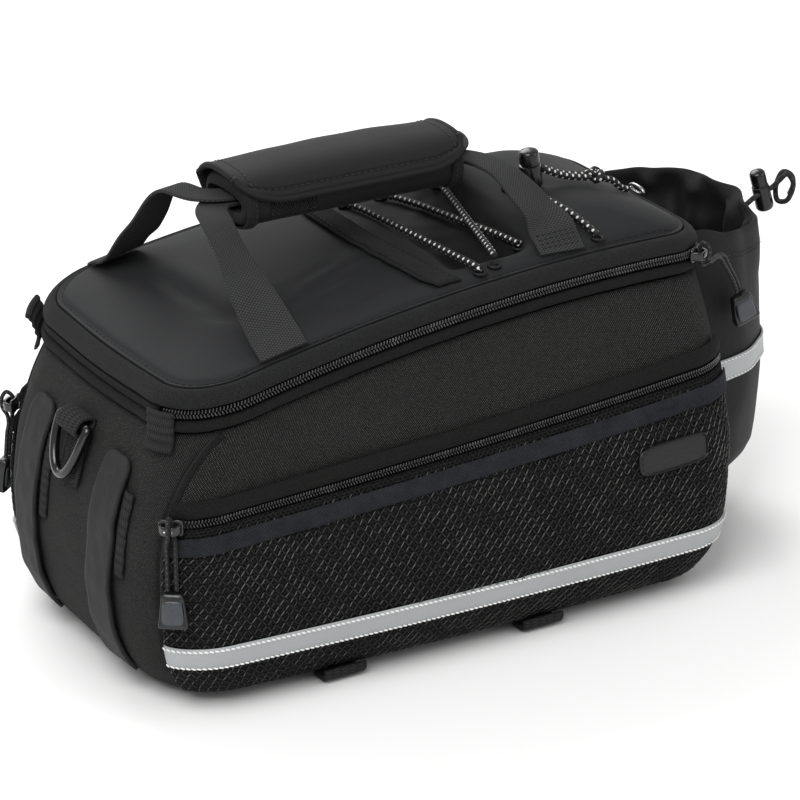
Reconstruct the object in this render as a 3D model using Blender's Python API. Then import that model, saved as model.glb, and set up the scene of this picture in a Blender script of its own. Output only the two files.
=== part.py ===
"""Bicycle trunk bag: padded cloth body, moulded lid, zipped side pockets, bottle pouch and carrying handle.

Metres, +Z up. X runs along the bag with the front at -X, the near side is -Y.
The origin is the middle of the flat underside.
"""
import math

import bmesh
import bpy
from mathutils import Vector
from mathutils.bvhtree import BVHTree

CLEARANCE = 0.0003

# Body at its fullest level
BODY_LENGTH = 0.286
BODY_WIDTH = 0.167
BODY_WALL = 0.003
FRONT_TAPER = 0.006
BODY_CORNER_FRONT = 0.030
BODY_CORNER_REAR = 0.024
SIDE_CROWN = 0.002
FRONT_CROWN = 0.0015

# How far the flat underside stands in from the fullest level
BASE_SET_IN_FRONT = 0.025
BASE_SET_IN_REAR = 0.014
BASE_SET_IN_SIDE = 0.016

# Zip line that runs round the top, where the lid closes
ZIP_HEIGHT_FRONT = 0.1246
ZIP_HEIGHT_REAR = 0.1492
ZIP_ARCH = 0.0125
ZIP_SET_IN_FRONT = 0.0173
ZIP_SET_IN_REAR = 0.0028
ZIP_SET_IN_SIDE_FRONT = 0.0021
ZIP_SET_IN_SIDE_REAR = 0.0199
COIL_HEIGHT = 0.0046
COIL_THICK = 0.0026
TAPE_THICK = 0.0010

# Piping on the body's edge and the rolled border of the lid
PIPING_RADIUS = 0.0024
BORDER_HEIGHT = 0.0066
BORDER_THICK = 0.0050
BORDER_LEAN = 0.0035

# Zip ends and outline steps, as places round the bag: see around_places
ZIP_START = -0.80
ZIP_END = 5.55
HINGE_GAP = 0.06
SIDE_PLACES = [0.0, 0.14, 0.28, 0.41, 0.49, 0.54, 0.60, 0.68, 0.73, 0.78, 0.88]
CORNER_STEPS = 4
END_STEPS = 6

# Moulded lid
LID_WALL = 0.003
LID_CROWN_HEIGHT = 0.0165
LID_RECESS_DEPTH = 0.007
LID_RECESS_X = 0.1154 * BODY_LENGTH
LID_RECESS_LENGTH = 0.1748 * BODY_LENGTH
LID_RECESS_WIDTH = 0.6707 * BODY_WIDTH
LID_RECESS_SLOPE = 0.012
LID_SPINE_SHRINK = 0.75
SEAM_TAPE_X = -0.0217 * BODY_LENGTH
SEAM_TAPE_REACH = 0.2754 * BODY_WIDTH
SEAM_TAPE_BOW = 0.005
SEAM_TAPE_WIDTH = 0.012
SEAM_TAPE_THICK = 0.0012

# Side pockets
POCKET_TOP_FRONT = 0.084
POCKET_TOP_REAR = 0.103
POCKET_BOTTOM = 0.004
POCKET_CLOTH = 0.0014
POCKET_EDGE = 0.0026
POCKET_FULLNESS = 0.0070
POCKET_COIL_RADIUS = 0.0019
POCKET_LIP_HEIGHT = 0.0070
POCKET_LIP_THICK = 0.0030
POCKET_BAND_WIDTH = 0.0075
POCKET_BAND_DROP = 0.003
POCKET_FIRST = -0.50
POCKET_LAST = 1.55
POCKET_LEVELS = (0.0, 0.08, 0.24, 0.45, 0.68, 0.88, 1.0)
STRIPE_WIDTH = 0.0112
STRIPE_HEIGHT = 0.0225
TRIM_THICK = 0.0010
BADGE_LENGTH = 0.038
BADGE_HEIGHT = 0.013
BADGE_THICK = 0.0014
BADGE_PLACE = 0.930
BADGE_LEVEL = 0.72

# Bottle pouch on the rear wall
POUCH_REACH = 0.0615
POUCH_HALF_WIDTH = 0.046
POUCH_BOTTOM = 0.025
POUCH_TOP = ZIP_HEIGHT_REAR + 0.0018
POUCH_CLOTH = 0.002
POUCH_GATHER = 0.0022
POUCH_GATHERS = 5
POUCH_STEPS = 20
POUCH_BAND_HEIGHT = 0.083
POUCH_BAND_WIDTH = 0.0105

# Handle and its webbing
HANDLE_FRONT_X = -0.2308 * BODY_LENGTH
HANDLE_REAR_X = 0.1399 * BODY_LENGTH
HANDLE_RISE = 0.0443
HANDLE_HEIGHT = ZIP_HEIGHT_REAR + HANDLE_RISE
HANDLE_HALF_WIDTH = 0.0185
HANDLE_HALF_HEIGHT = 0.0105
HANDLE_END_ROUND = 0.004
HANDLE_SIDES = 12
FLAP_THICK = 0.0035
FLAP_OVERHANG = 0.002
FLAP_CROWN = 0.0015
WEB_WIDTH = 0.022
WEB_THICK = 0.0016
WEB_FOLD_REACH = 0.0150
WEB_TURN = 0.020
WEB_SLOT_ROOM = 0.004
WEB_ANCHORS = {"near": (-0.2664 * BODY_LENGTH, 0.2203 * BODY_LENGTH),
               "far": (-0.3007 * BODY_LENGTH, 0.2203 * BODY_LENGTH)}
WEB_EDGE_IN = 0.0015
WEB_FOLD_DROP = 0.0015
WEB_SLOPE_Y = 0.2216 * BODY_WIDTH
WEB_LIES_FROM = 0.2515 * BODY_WIDTH
WEB_LIES_FLAT = 0.3234 * BODY_WIDTH

# Cords
BUNGEE_DIAMETER = 0.003
PULL_CORD_DIAMETER = 0.0018
POUCH_CORD_DIAMETER = 0.0024

# Straps and the D-ring on the front wall, and the loops under the sides
FRONT_STRAP_WIDTH = 0.023
FRONT_STRAP_THICK = 0.0024
FRONT_STRAP_Y = 0.0345
FRONT_STRAP_TOP = 0.106
FRONT_STRAP_BOTTOM = 0.010
RING_WIDTH = 0.028
RING_HEIGHT = 0.026
RING_WIRE = 0.0042
LOOP_WIDTH = 0.020
LOOP_THICK = 0.0022
LOOP_FRONT_X = -0.1906 * BODY_LENGTH
LOOP_REAR_X = 0.1486 * BODY_LENGTH
PATCH_WIDTH = 0.007
PATCH_LENGTH = 0.036
RING_TOP = 0.108
RING_WEB_WIDTH = 0.018
RING_PATCH_LENGTH = 0.026
TAB_LENGTH = 0.006
TAB_SPREAD = 0.14

# Zip sliders, their cords and grips
SLIDER_LENGTH = 0.010
SLIDER_WIDTH = 0.0060
SLIDER_THICK = 0.0013
SLIDER_STAND = 0.0046
GRIP_LENGTH = 0.0150
GRIP_WIDTH = 0.0125
GRIP_THICK = 0.0052
PULL_CORD_LENGTH = 0.026
PULL_LEG_GAP = 0.0036
PULL_INSET = 0.04
MAIN_PULL_PLACE = 1.375

# Lacing on the lid and its fittings
LOCK_LENGTH = 0.017
LOCK_RADIUS = 0.0050
KNOT_RADIUS = 0.0050
LACE_LOCK = (0.2692 * BODY_LENGTH, -0.0838 * BODY_WIDTH)
LACE_KNOT = (0.3741 * BODY_LENGTH, -0.1078 * BODY_WIDTH)
LACE_END = (0.4371 * BODY_LENGTH, -0.1048 * BODY_WIDTH)
POUCH_LOCK_TURN = -18
POUCH_LOCK_LENGTH = 0.0195
POUCH_LOCK_RADIUS = 0.0042

# Sizes that follow from the ones above
RIM_DROP = COIL_HEIGHT / 2 + 2 * PIPING_RADIUS + 4 * CLEARANCE
GROOVE_IN = BORDER_LEAN * 0.75 + BORDER_THICK * 0.433 + CLEARANCE
GROOVE_RISE = COIL_HEIGHT / 2 + BORDER_HEIGHT + 2 * CLEARANCE
SIDE_RUN = BODY_LENGTH - BODY_CORNER_FRONT - BODY_CORNER_REAR
TRIM_LIFT = 2 * CLEARANCE
CURVED_LIFT = 4 * CLEARANCE
SEAM_LIFT = 5 * CLEARANCE
WEB_LAYER = WEB_THICK / 2 + CLEARANCE
FOLD_FRONT_X = HANDLE_FRONT_X - WEB_FOLD_REACH
FOLD_REAR_X = HANDLE_REAR_X + WEB_FOLD_REACH
RING_OUT = 7 * CLEARANCE + WEB_THICK + RING_WIRE / 2

# Plain colours of the cloths and fittings
TWILL = (0.016, 0.016, 0.017)
SHELL_GREY = (0.045, 0.045, 0.048)
WEBBING = (0.030, 0.032, 0.033)
MESH_BLACK = (0.012, 0.013, 0.014)
SILVER = (0.60, 0.61, 0.61)
HARD_BLACK = (0.012, 0.012, 0.013)
CORD_BLACK = (0.05, 0.05, 0.05)

# Level is a share of the wall's height; base and rim are shares of the two set-in groups above
BODY_PROFILE = [
    # level, base, rim
    (0.00, 1.00, 0.00),
    (0.02, 0.72, 0.00),
    (0.07, 0.45, 0.00),
    (0.16, 0.20, 0.00),
    (0.30, 0.04, 0.00),
    (0.47, 0.00, 0.00),
    (0.65, 0.00, 0.12),
    (0.83, 0.00, 0.45),
    (1.00, 0.00, 1.00),
]

# Share of the lid's outline, and of its crown height, from the stitched groove to the middle
LID_PROFILE = [
    # scale, rise
    (1.00, 0.00),
    (0.94, 0.20),
    (0.82, 0.46),
    (0.64, 0.74),
    (0.42, 0.92),
    (0.20, 0.99),
    (0.05, 1.00),
]

# Crown of the lid along its length, as a share of its height
LID_CROWN = [
    # along, crown
    (0.00, 0.30),
    (0.25, 0.42),
    (0.50, 0.46),
    (0.64, 0.52),
    (0.74, 0.86),
    (0.86, 1.00),
    (1.00, 0.85),
]

# Pouch sections, as shares of its height, reach and half width
POUCH_PROFILE = [
    # level, reach, width, gather
    (0.00, 0.70, 0.72, 0.0),
    (0.03, 0.86, 0.86, 0.0),
    (0.10, 0.97, 0.96, 0.0),
    (0.30, 1.00, 1.00, 0.0),
    (0.62, 1.00, 0.98, 0.1),
    (0.85, 0.97, 0.96, 0.5),
    (1.00, 0.955, 0.95, 1.0),
]

# Moulded grip of a zip pull, as shares of its length, width and thickness
GRIP_PROFILE = [
    # down, half width, half thickness
    (0.00, 0.33, 0.34),
    (0.12, 0.38, 0.46),
    (0.35, 0.42, 0.40),
    (0.75, 0.48, 0.44),
    (0.92, 0.50, 0.50),
    (1.00, 0.45, 0.36),
]

# How a band of webbing leaves the lid: distance from the edge and rise off the surface
WEB_LEAVES = [
    # back, rise
    (0.000, 0.0000),
    (0.006, 0.0006),
    (0.014, 0.0035),
]

# Moulded cord lock, as shares of its length and radius
BARREL_PROFILE = [
    # along, radius
    (0.00, 0.86),
    (0.06, 1.00),
    (0.60, 0.96),
    (0.64, 0.84),
    (0.68, 0.90),
    (0.94, 0.88),
    (1.00, 0.70),
]

# Elastic lacing: both ends of each run, as shares of the body's length and width, and how many
# cord diameters it rides over the run below it
BUNGEE_RUNS = [
    # run, x start, y start, x end, y end, raised
    ("one", 0.0245, 0.1617, 0.0759, -0.3653, 0.0),
    ("two", 0.1178, 0.2515, 0.1748, -0.2814, 0.17),
    ("three", 0.1818, 0.1497, 0.1049, -0.3533, 0.97),
    ("four", 0.2343, -0.0635, 0.2888, -0.3443, 0.0),
]

# Route of the main zip's pull cord, from its grip up to the slider, measured from the rear near corner
MAIN_PULL_ROUTE = [
    # rearward, inward, upward
    (0.0160, 0.0290, -0.0252),
    (0.0132, 0.0280, -0.0192),
    (0.0070, 0.0255, -0.0102),
    (0.0010, 0.0225, -0.0032),
]

# Looped end of the pouch's drawcord: outward, across and up from its lock
POUCH_CORD_LOOPS = [
    (0.0000, -0.0010, 0.0000),
    (0.0030, -0.0014, 0.0030),
    (0.0060, -0.0024, 0.0066),
    (0.0092, -0.0034, 0.0030),
    (0.0078, -0.0036, -0.0044),
    (0.0042, -0.0022, -0.0072),
    (0.0028, 0.0016, -0.0050),
    (0.0040, 0.0030, 0.0020),
    (0.0076, 0.0030, 0.0062),
    (0.0110, 0.0010, 0.0020),
    (0.0096, 0.0022, -0.0050),
]


def start_clean():
    for item in list(bpy.data.objects):
        bpy.data.objects.remove(item)


def finish_material(name, colour, roughness, metallic=0.0):
    material = bpy.data.materials.new(name)
    material.use_nodes = True
    shader = material.node_tree.nodes["Principled BSDF"]
    shader.inputs["Base Color"].default_value = (*colour, 1.0)
    shader.inputs["Roughness"].default_value = roughness
    shader.inputs["Metallic"].default_value = metallic
    return material


def add_solid(name, points, faces, colour, roughness=0.8, sharp=50):
    """One closed mesh object, faces turned outward, round shading below the sharp angle."""
    mesh = bpy.data.meshes.new(name)
    mesh.from_pydata([tuple(p) for p in points], [], faces)
    work = bmesh.new()
    work.from_mesh(mesh)
    bmesh.ops.recalc_face_normals(work, faces=work.faces)
    work.to_mesh(mesh)
    work.free()
    mesh.shade_smooth()
    mesh.set_sharp_from_angle(angle=math.radians(sharp))
    mesh.materials.append(finish_material(name, colour, roughness))
    item = bpy.data.objects.new(name, mesh)
    bpy.context.collection.objects.link(item)
    return item


def bridge(rows, around=True):
    """Quads between rows of equal length; around closes each row on itself."""
    count = len(rows[0])
    faces = []
    for row in range(len(rows) - 1):
        for col in range(count if around else count - 1):
            nxt = (col + 1) % count
            low, high = row * count, (row + 1) * count
            faces.append((low + col, low + nxt, high + nxt, high + col))
    return faces


def middle(points):
    return sum((Vector(p) for p in points), Vector()) / len(points)


def loft(name, rows, colour, roughness=0.8, sharp=50, flat_ends=True):
    """A solid through closed rows of points, with a cap on each end."""
    count = len(rows[0])
    points = [p for row in rows for p in row]
    faces = bridge(rows)
    last = (len(rows) - 1) * count
    if flat_ends:
        faces.append(tuple(range(count)))
        faces.append(tuple(last + k for k in range(count)))
    else:
        for start, row in ((0, rows[0]), (last, rows[-1])):
            points.append(middle(row))
            hub = len(points) - 1
            faces.extend((start + k, start + (k + 1) % count, hub) for k in range(count))
    return add_solid(name, points, faces, colour, roughness, sharp)


def loop_loft(name, rows, colour, roughness=0.8, sharp=50):
    """A closed ring: rows of equal length, the last joined back to the first."""
    return add_solid(name, [p for row in rows for p in row], ring_faces(rows), colour, roughness, sharp)


def ring_faces(rows):
    count = len(rows[0])
    total = len(rows)
    faces = []
    for row in range(total):
        for col in range(count):
            nxt = (col + 1) % count
            up = (row + 1) % total
            faces.append((row * count + col, row * count + nxt, up * count + nxt, up * count + col))
    return faces


def panel(name, outer, inner, colour, roughness=0.8, sharp=50):
    """A sheet with thickness between two grids of the same size, closed round its edge."""
    rows, cols = len(outer), len(outer[0])
    points = [p for row in outer for p in row] + [p for row in inner for p in row]
    back = rows * cols
    faces = bridge(outer, around=False)
    faces += [tuple(back + k for k in face) for face in faces]
    border = [k for k in range(cols)]
    border += [row * cols + cols - 1 for row in range(1, rows)]
    border += [(rows - 1) * cols + k for k in range(cols - 2, -1, -1)]
    border += [row * cols for row in range(rows - 2, 0, -1)]
    for k, a in enumerate(border):
        b = border[(k + 1) % len(border)]
        faces.append((a, b, back + b, back + a))
    return add_solid(name, points, faces, colour, roughness, sharp)


def blend_rows(table, value):
    """Values of a table's other columns at one value of its first column, straight between rows."""
    if value <= table[0][0]:
        return table[0][1:]
    for low, high in zip(table, table[1:]):
        if value <= high[0]:
            share = (value - low[0]) / (high[0] - low[0])
            return [a + (b - a) * share for a, b in zip(low[1:], high[1:])]
    return table[-1][1:]


def ease(low, high, value):
    share = min(max((value - low) / (high - low), 0.0), 1.0)
    return share * share * (3 - 2 * share)


def spread(low, high, steps):
    return [low + (high - low) * k / steps for k in range(steps + 1)]


def smooth_route(points, step):
    """Points at an even spacing along a Catmull-Rom curve through the chosen points."""
    chosen = [Vector(p) for p in points]
    chosen = [chosen[0] * 2 - chosen[1]] + chosen + [chosen[-1] * 2 - chosen[-2]]
    dense = []
    for a, b, c, d in zip(chosen, chosen[1:], chosen[2:], chosen[3:]):
        for k in range(24):
            t = k / 24
            dense.append(0.5 * (2 * b + (c - a) * t + (2 * a - 5 * b + 4 * c - d) * t * t
                                + (3 * b - a - 3 * c + d) * t ** 3))
    dense.append(chosen[-2])
    return even_points(dense, step)


def even_points(dense, step):
    lengths = [0.0]
    for a, b in zip(dense, dense[1:]):
        lengths.append(lengths[-1] + (b - a).length)
    count = max(2, round(lengths[-1] / step))
    result = []
    place = 0
    for k in range(count + 1):
        want = lengths[-1] * k / count
        while place < len(lengths) - 2 and lengths[place + 1] < want:
            place += 1
        span = lengths[place + 1] - lengths[place]
        result.append(dense[place].lerp(dense[place + 1], (want - lengths[place]) / span if span else 0.0))
    return result


def cord(name, points, diameter, colour=CORD_BLACK):
    """A round cord with filled ends along the given points."""
    curve = bpy.data.curves.new(name, "CURVE")
    curve.dimensions = "3D"
    curve.bevel_depth = diameter / 2
    curve.bevel_resolution = 2
    curve.use_fill_caps = True
    spline = curve.splines.new("POLY")
    spline.points.add(len(points) - 1)
    for target, point in zip(spline.points, points):
        target.co = (*point, 1.0)
    curve.materials.append(finish_material(name, colour, 0.7))
    item = bpy.data.objects.new(name, curve)
    bpy.context.collection.objects.link(item)
    return item


def strap(name, centres, widths, thick, colour=WEBBING, roughness=0.85):
    """A flat band along the centres; widths are half-width vectors across it."""
    rows = []
    for k, (centre, half) in enumerate(zip(centres, widths)):
        before = centres[max(k - 1, 0)]
        after = centres[min(k + 1, len(centres) - 1)]
        normal = (after - before).cross(half).normalized() * (thick / 2)
        edge = half * 0.94
        rows.append([centre - half, centre - edge + normal, centre + edge + normal,
                     centre + half, centre + edge - normal, centre - edge - normal])
    return loft(name, rows, colour, roughness, sharp=60)


# Shape of the body

def around_places():
    """Places round an outline, from 0 to 8: near side, rear near corner, rear, and so on to the front."""
    corner = [k / CORNER_STEPS for k in range(CORNER_STEPS)]
    end = [k / END_STEPS for k in range(END_STEPS)]
    far_side = [0.0] + [1 - share for share in reversed(SIDE_PLACES[1:])]
    parts = [SIDE_PLACES, corner, end, corner, far_side, corner, end, corner]
    return [part + share for part, shares in enumerate(parts) for share in shares]


def outline_point(place, front, rear, half_front, half_rear, corner_front, corner_rear):
    """Point on a rounded, tapering outline seen from above."""
    place = place % 8
    part = int(place)
    share = place - part
    bow = math.sin(math.pi * share)
    x_front, x_rear = -front + corner_front, rear - corner_rear
    y_front, y_rear = half_front - corner_front, half_rear - corner_rear
    if part in (0, 4):
        along = share if part == 0 else 1 - share
        side = -1 if part == 0 else 1
        half = half_front + (half_rear - half_front) * along + SIDE_CROWN * bow
        return x_front + (x_rear - x_front) * along, side * half
    if part == 2:
        return rear, -y_rear + 2 * y_rear * share
    if part == 6:
        return -front - FRONT_CROWN * bow, y_front - 2 * y_front * share
    turn = math.radians({1: -90, 3: 0, 5: 90, 7: 180}[part] + 90 * share)
    if part in (1, 3):
        centre_y = -y_rear if part == 1 else y_rear
        return x_rear + corner_rear * math.cos(turn), centre_y + corner_rear * math.sin(turn)
    centre_y = y_front if part == 5 else -y_front
    return x_front + corner_front * math.cos(turn), centre_y + corner_front * math.sin(turn)


def zip_height(x):
    along = (x + BODY_LENGTH / 2) / BODY_LENGTH
    arch = 4 * ZIP_ARCH * along * (1 - along)
    return ZIP_HEIGHT_FRONT + (ZIP_HEIGHT_REAR - ZIP_HEIGHT_FRONT) * along + arch


def rim_height(x):
    """Top edge of the padded wall, below its piping."""
    return zip_height(x) - RIM_DROP


def body_outline(place, level, out=0.0):
    base, rim = blend_rows(BODY_PROFILE, level)
    front = BODY_LENGTH / 2 - BASE_SET_IN_FRONT * base - ZIP_SET_IN_FRONT * rim + out
    rear = BODY_LENGTH / 2 - BASE_SET_IN_REAR * base - ZIP_SET_IN_REAR * rim + out
    half = BODY_WIDTH / 2 - BASE_SET_IN_SIDE * base + out
    half_front = half - FRONT_TAPER - ZIP_SET_IN_SIDE_FRONT * rim
    half_rear = half - ZIP_SET_IN_SIDE_REAR * rim
    return outline_point(place, front, rear, half_front, half_rear, BODY_CORNER_FRONT + out,
                         BODY_CORNER_REAR + out)


def wall_point(place, level, out=0.0):
    x, y = body_outline(place, level, out)
    return Vector((x, y, rim_height(x) * level))


def wall_at_height(place, height, out=0.0):
    """Point on the wall at a height instead of a level."""
    level = height / rim_height(body_outline(place, 0.5)[0])
    for _ in range(3):
        level = height / rim_height(body_outline(place, level)[0])
    x, y = body_outline(place, level, out)
    return Vector((x, y, height))


def rim_point(place, out=0.0, rise=0.0):
    """Point on the zip line, moved outward and upward."""
    x, y = body_outline(place, 1.0, out)
    return Vector((x, y, zip_height(x) + rise))


def make_body():
    places = around_places()
    outer = [[wall_point(p, row[0]) for p in places] for row in BODY_PROFILE]
    inner_levels = (1.0, 0.83, 0.47, 0.16, 0.07)
    inner = [[wall_point(p, level, -BODY_WALL) for p in places] for level in inner_levels]
    floor = [Vector((p.x * 0.97, p.y * 0.95, BODY_WALL)) for p in inner[-1]]
    loft("body_shell", outer + inner + [floor], TWILL, 0.85)


def swept_rim(name, offsets, colour, roughness, places=None):
    """A section of (outward, upward) offsets carried round the zip line, or along part of it."""
    rows = [[rim_point(p, out, rise) for out, rise in offsets] for p in places or around_places()]
    if places is None:
        return loop_loft(name, rows, colour, roughness)
    return loft(name, rows, colour, roughness)


def round_section(radius_out, radius_up, out, rise, sides=5, lean=0.0):
    section = []
    for k in range(sides):
        turn = 2 * math.pi * (k + 0.5) / sides
        up = radius_up * math.sin(turn)
        section.append((out + radius_out * math.cos(turn) - lean * up / radius_up, rise + up))
    return section


def zip_places():
    """Places from the near front corner round the rear to the far front corner."""
    inside = [p for p in around_places() if p < ZIP_END]
    return spread(ZIP_START, 0.0, 4)[:-1] + inside + [ZIP_END]


def hinge_places():
    return spread(ZIP_END + HINGE_GAP, ZIP_START + 8 - HINGE_GAP, 10)


def make_rim():
    piping_rise = -COIL_HEIGHT / 2 - CLEARANCE - PIPING_RADIUS
    swept_rim("body_piping", round_section(PIPING_RADIUS, PIPING_RADIUS, 0.0, piping_rise), TWILL, 0.7)
    border_rise = COIL_HEIGHT / 2 + CLEARANCE + BORDER_HEIGHT / 2
    lean = BORDER_LEAN / 2
    border = round_section(BORDER_THICK / 2, BORDER_HEIGHT / 2, -lean, border_rise, 6, lean)
    swept_rim("lid_border", border, SHELL_GREY, 0.6)
    half = COIL_HEIGHT / 2
    shoulder = COIL_THICK * 0.6
    coil = [(0.0, -half), (shoulder, -half * 0.7), (COIL_THICK, 0.0), (shoulder, half * 0.7), (0.0, half)]
    swept_rim("main_zip_coil", coil, HARD_BLACK, 0.5, zip_places())
    tape_top = COIL_HEIGHT / 2 - CLEARANCE
    tape = [(-CLEARANCE - TAPE_THICK, -tape_top), (-CLEARANCE, -tape_top), (-CLEARANCE, tape_top),
            (-CLEARANCE - TAPE_THICK, tape_top)]
    swept_rim("main_zip_tape", tape, TWILL, 0.9, zip_places())
    hinge = [(-CLEARANCE - TAPE_THICK, -tape_top), (TAPE_THICK, -tape_top), (TAPE_THICK, tape_top),
             (-CLEARANCE - TAPE_THICK, tape_top)]
    swept_rim("lid_hinge", hinge, TWILL, 0.9, hinge_places())


# Shape of the lid

def lid_point(place, scale, rise, drop=0.0, inset=0.0):
    """Point of the lid on the outline shrunk by scale, raised by a share of the crown."""
    edge = rim_point(place, -GROOVE_IN - inset)
    middle_x = (ZIP_SET_IN_FRONT - ZIP_SET_IN_REAR) / 2
    x = middle_x + (edge.x - middle_x) * (1 - LID_SPINE_SHRINK * (1 - scale))
    y = edge.y * scale
    along = (x + BODY_LENGTH / 2) / BODY_LENGTH
    crown = LID_CROWN_HEIGHT * blend_rows(LID_CROWN, along)[0]
    z = zip_height(x) + GROOVE_RISE + crown * rise - lid_dent(x, y) - drop
    return Vector((x, y, z))


def lid_dent(x, y):
    """Sunken cloth panel across the middle of the lid."""
    across = ease(LID_RECESS_WIDTH / 2, LID_RECESS_WIDTH / 2 - LID_RECESS_SLOPE, abs(y))
    half = LID_RECESS_LENGTH / 2
    along = ease(half, half - LID_RECESS_SLOPE, abs(x - LID_RECESS_X))
    return LID_RECESS_DEPTH * across * along


def make_lid():
    places = around_places()
    outer = [[lid_point(p, scale, rise) for p in places] for scale, rise in LID_PROFILE]
    under = [(0.05, 1.0), (0.42, 0.92), (0.82, 0.46), (1.0, 0.0)]
    inner = [[lid_point(p, scale, rise, LID_WALL, LID_WALL) for p in places] for scale, rise in under]
    flange_drop = GROOVE_RISE + COIL_HEIGHT / 2 - 2 * CLEARANCE
    lip_out = [[rim_point(p, -GROOVE_IN, GROOVE_RISE - flange_drop) for p in places]]
    lip_in = [[rim_point(p, -GROOVE_IN - LID_WALL, GROOVE_RISE - flange_drop) for p in places]]
    rows = outer[::-1] + lip_out + lip_in + inner[::-1]
    return loft("lid", rows, SHELL_GREY, 0.55, flat_ends=False)


def surface_tree(item):
    depsgraph = bpy.context.evaluated_depsgraph_get()
    return BVHTree.FromObject(item, depsgraph)


def drop_on(tree, x, y, lift=0.0):
    """Point on top of a surface, straight below a place above the bag."""
    hit = tree.ray_cast(Vector((x, y, 1.0)), Vector((0, 0, -1)))[0]
    return hit + Vector((0, 0, lift))


def make_seam_tape(tree):
    """Stitched band across the lid in front of the sunken panel."""
    outer, inner = [], []
    for y in spread(-SEAM_TAPE_REACH, SEAM_TAPE_REACH, 14):
        centre_x = SEAM_TAPE_X + SEAM_TAPE_BOW * (abs(y) / SEAM_TAPE_REACH) ** 3
        xs = spread(centre_x - SEAM_TAPE_WIDTH / 2, centre_x + SEAM_TAPE_WIDTH / 2, 2)
        outer.append([drop_on(tree, x, y, SEAM_LIFT + SEAM_TAPE_THICK) for x in xs])
        inner.append([drop_on(tree, x, y, SEAM_LIFT) for x in xs])
    panel("lid_seam_tape", outer, inner, SHELL_GREY, 0.6)


# Side pockets

def pocket_top(x):
    along = (x + BODY_LENGTH / 2) / BODY_LENGTH
    return POCKET_TOP_FRONT + (POCKET_TOP_REAR - POCKET_TOP_FRONT) * along


def pocket_bulge(along, up):
    """How far the pocket stands off the wall; along and up are shares of the pocket."""
    lengthways = math.sin(math.pi * min(max(along, 0.0), 1.0)) ** 0.5
    upward = math.sin(math.pi * min(max(up, 0.0), 1.0) ** 0.8) ** 0.7
    return POCKET_EDGE + POCKET_FULLNESS * lengthways * upward


def pocket_places():
    front_corner = spread(POCKET_FIRST, 0.0, 3)[:-1]
    side_wall = SIDE_PLACES[:4] + [0.52, 0.65] + SIDE_PLACES[-2:]
    return front_corner + side_wall + spread(1.0, POCKET_LAST, 3)


def pocket_point(place, height, side, lift=0.0, bulge=True):
    """Point on the pocket's cloth; side is -1 near, 1 far."""
    x_here = wall_at_height(place, height).x
    along = (place - POCKET_FIRST) / (POCKET_LAST - POCKET_FIRST)
    up = (height - POCKET_BOTTOM) / (pocket_top(x_here) - POCKET_BOTTOM)
    out = (pocket_bulge(along, up) if bulge else 0.0) + lift
    point = wall_at_height(place, height, out)
    point.y *= -side
    return point


def pocket_height(place, level):
    x_here = wall_at_height(place, POCKET_TOP_FRONT).x
    return POCKET_BOTTOM + (pocket_top(x_here) - POCKET_BOTTOM) * level


def pocket_trim(name, side, bottom, width, colour, roughness):
    """A strip of one width laid along the pocket; bottom gives its lower edge at each place."""
    outer, inner = [], []
    for up in (0.0, width):
        heights = [(place, bottom(place) + up) for place in pocket_places()]
        outer.append([pocket_point(*spot, side, TRIM_LIFT + TRIM_THICK) for spot in heights])
        inner.append([pocket_point(*spot, side, TRIM_LIFT) for spot in heights])
    panel(name, outer, inner, colour, roughness)


def make_pocket(label, side):
    places = pocket_places()
    outer = [[pocket_point(p, pocket_height(p, v), side) for p in places] for v in POCKET_LEVELS]
    inner = [[pocket_point(p, pocket_height(p, v), side, inside_lift(p, v)) for p in places]
             for v in POCKET_LEVELS]
    panel("side_pocket_" + label, outer, inner, MESH_BLACK, 0.9)
    drop = POCKET_BAND_DROP + POCKET_BAND_WIDTH
    pocket_trim("pocket_band_" + label, side, lambda p: pocket_height(p, 1.0) - drop,
                POCKET_BAND_WIDTH, WEBBING, 0.8)
    pocket_trim("reflective_stripe_" + label, side, lambda p: STRIPE_HEIGHT, STRIPE_WIDTH, SILVER, 0.35)
    zip_rows = []
    lip_rows = []
    for place in places:
        height = pocket_height(place, 1.0) + CLEARANCE + POCKET_COIL_RADIUS
        zip_rows.append(ring_on_wall(place, height, side, POCKET_COIL_RADIUS, POCKET_COIL_RADIUS))
        height += POCKET_COIL_RADIUS + CLEARANCE + POCKET_LIP_HEIGHT / 2
        lip_rows.append(ring_on_wall(place, height, side, POCKET_LIP_THICK / 2, POCKET_LIP_HEIGHT / 2))
    loft("pocket_zip_" + label, zip_rows, HARD_BLACK, 0.5)
    loft("pocket_lip_" + label, lip_rows, TWILL, 0.8)


def inside_lift(place, level):
    """From the outer face of the pocket's cloth to its inner face, held just off the wall at the edges."""
    along = (place - POCKET_FIRST) / (POCKET_LAST - POCKET_FIRST)
    return max(-POCKET_CLOTH, CLEARANCE * 4 - pocket_bulge(along, level))


def ring_on_wall(place, height, side, thick, tall):
    """Closed section lying against the wall."""
    section = []
    for k in range(5):
        turn = 2 * math.pi * (k + 0.5) / 5
        out = 2 * CLEARANCE + thick * (1 + math.cos(turn))
        section.append(pocket_point(place, height + tall * math.sin(turn), side, out, bulge=False))
    return section


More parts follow.
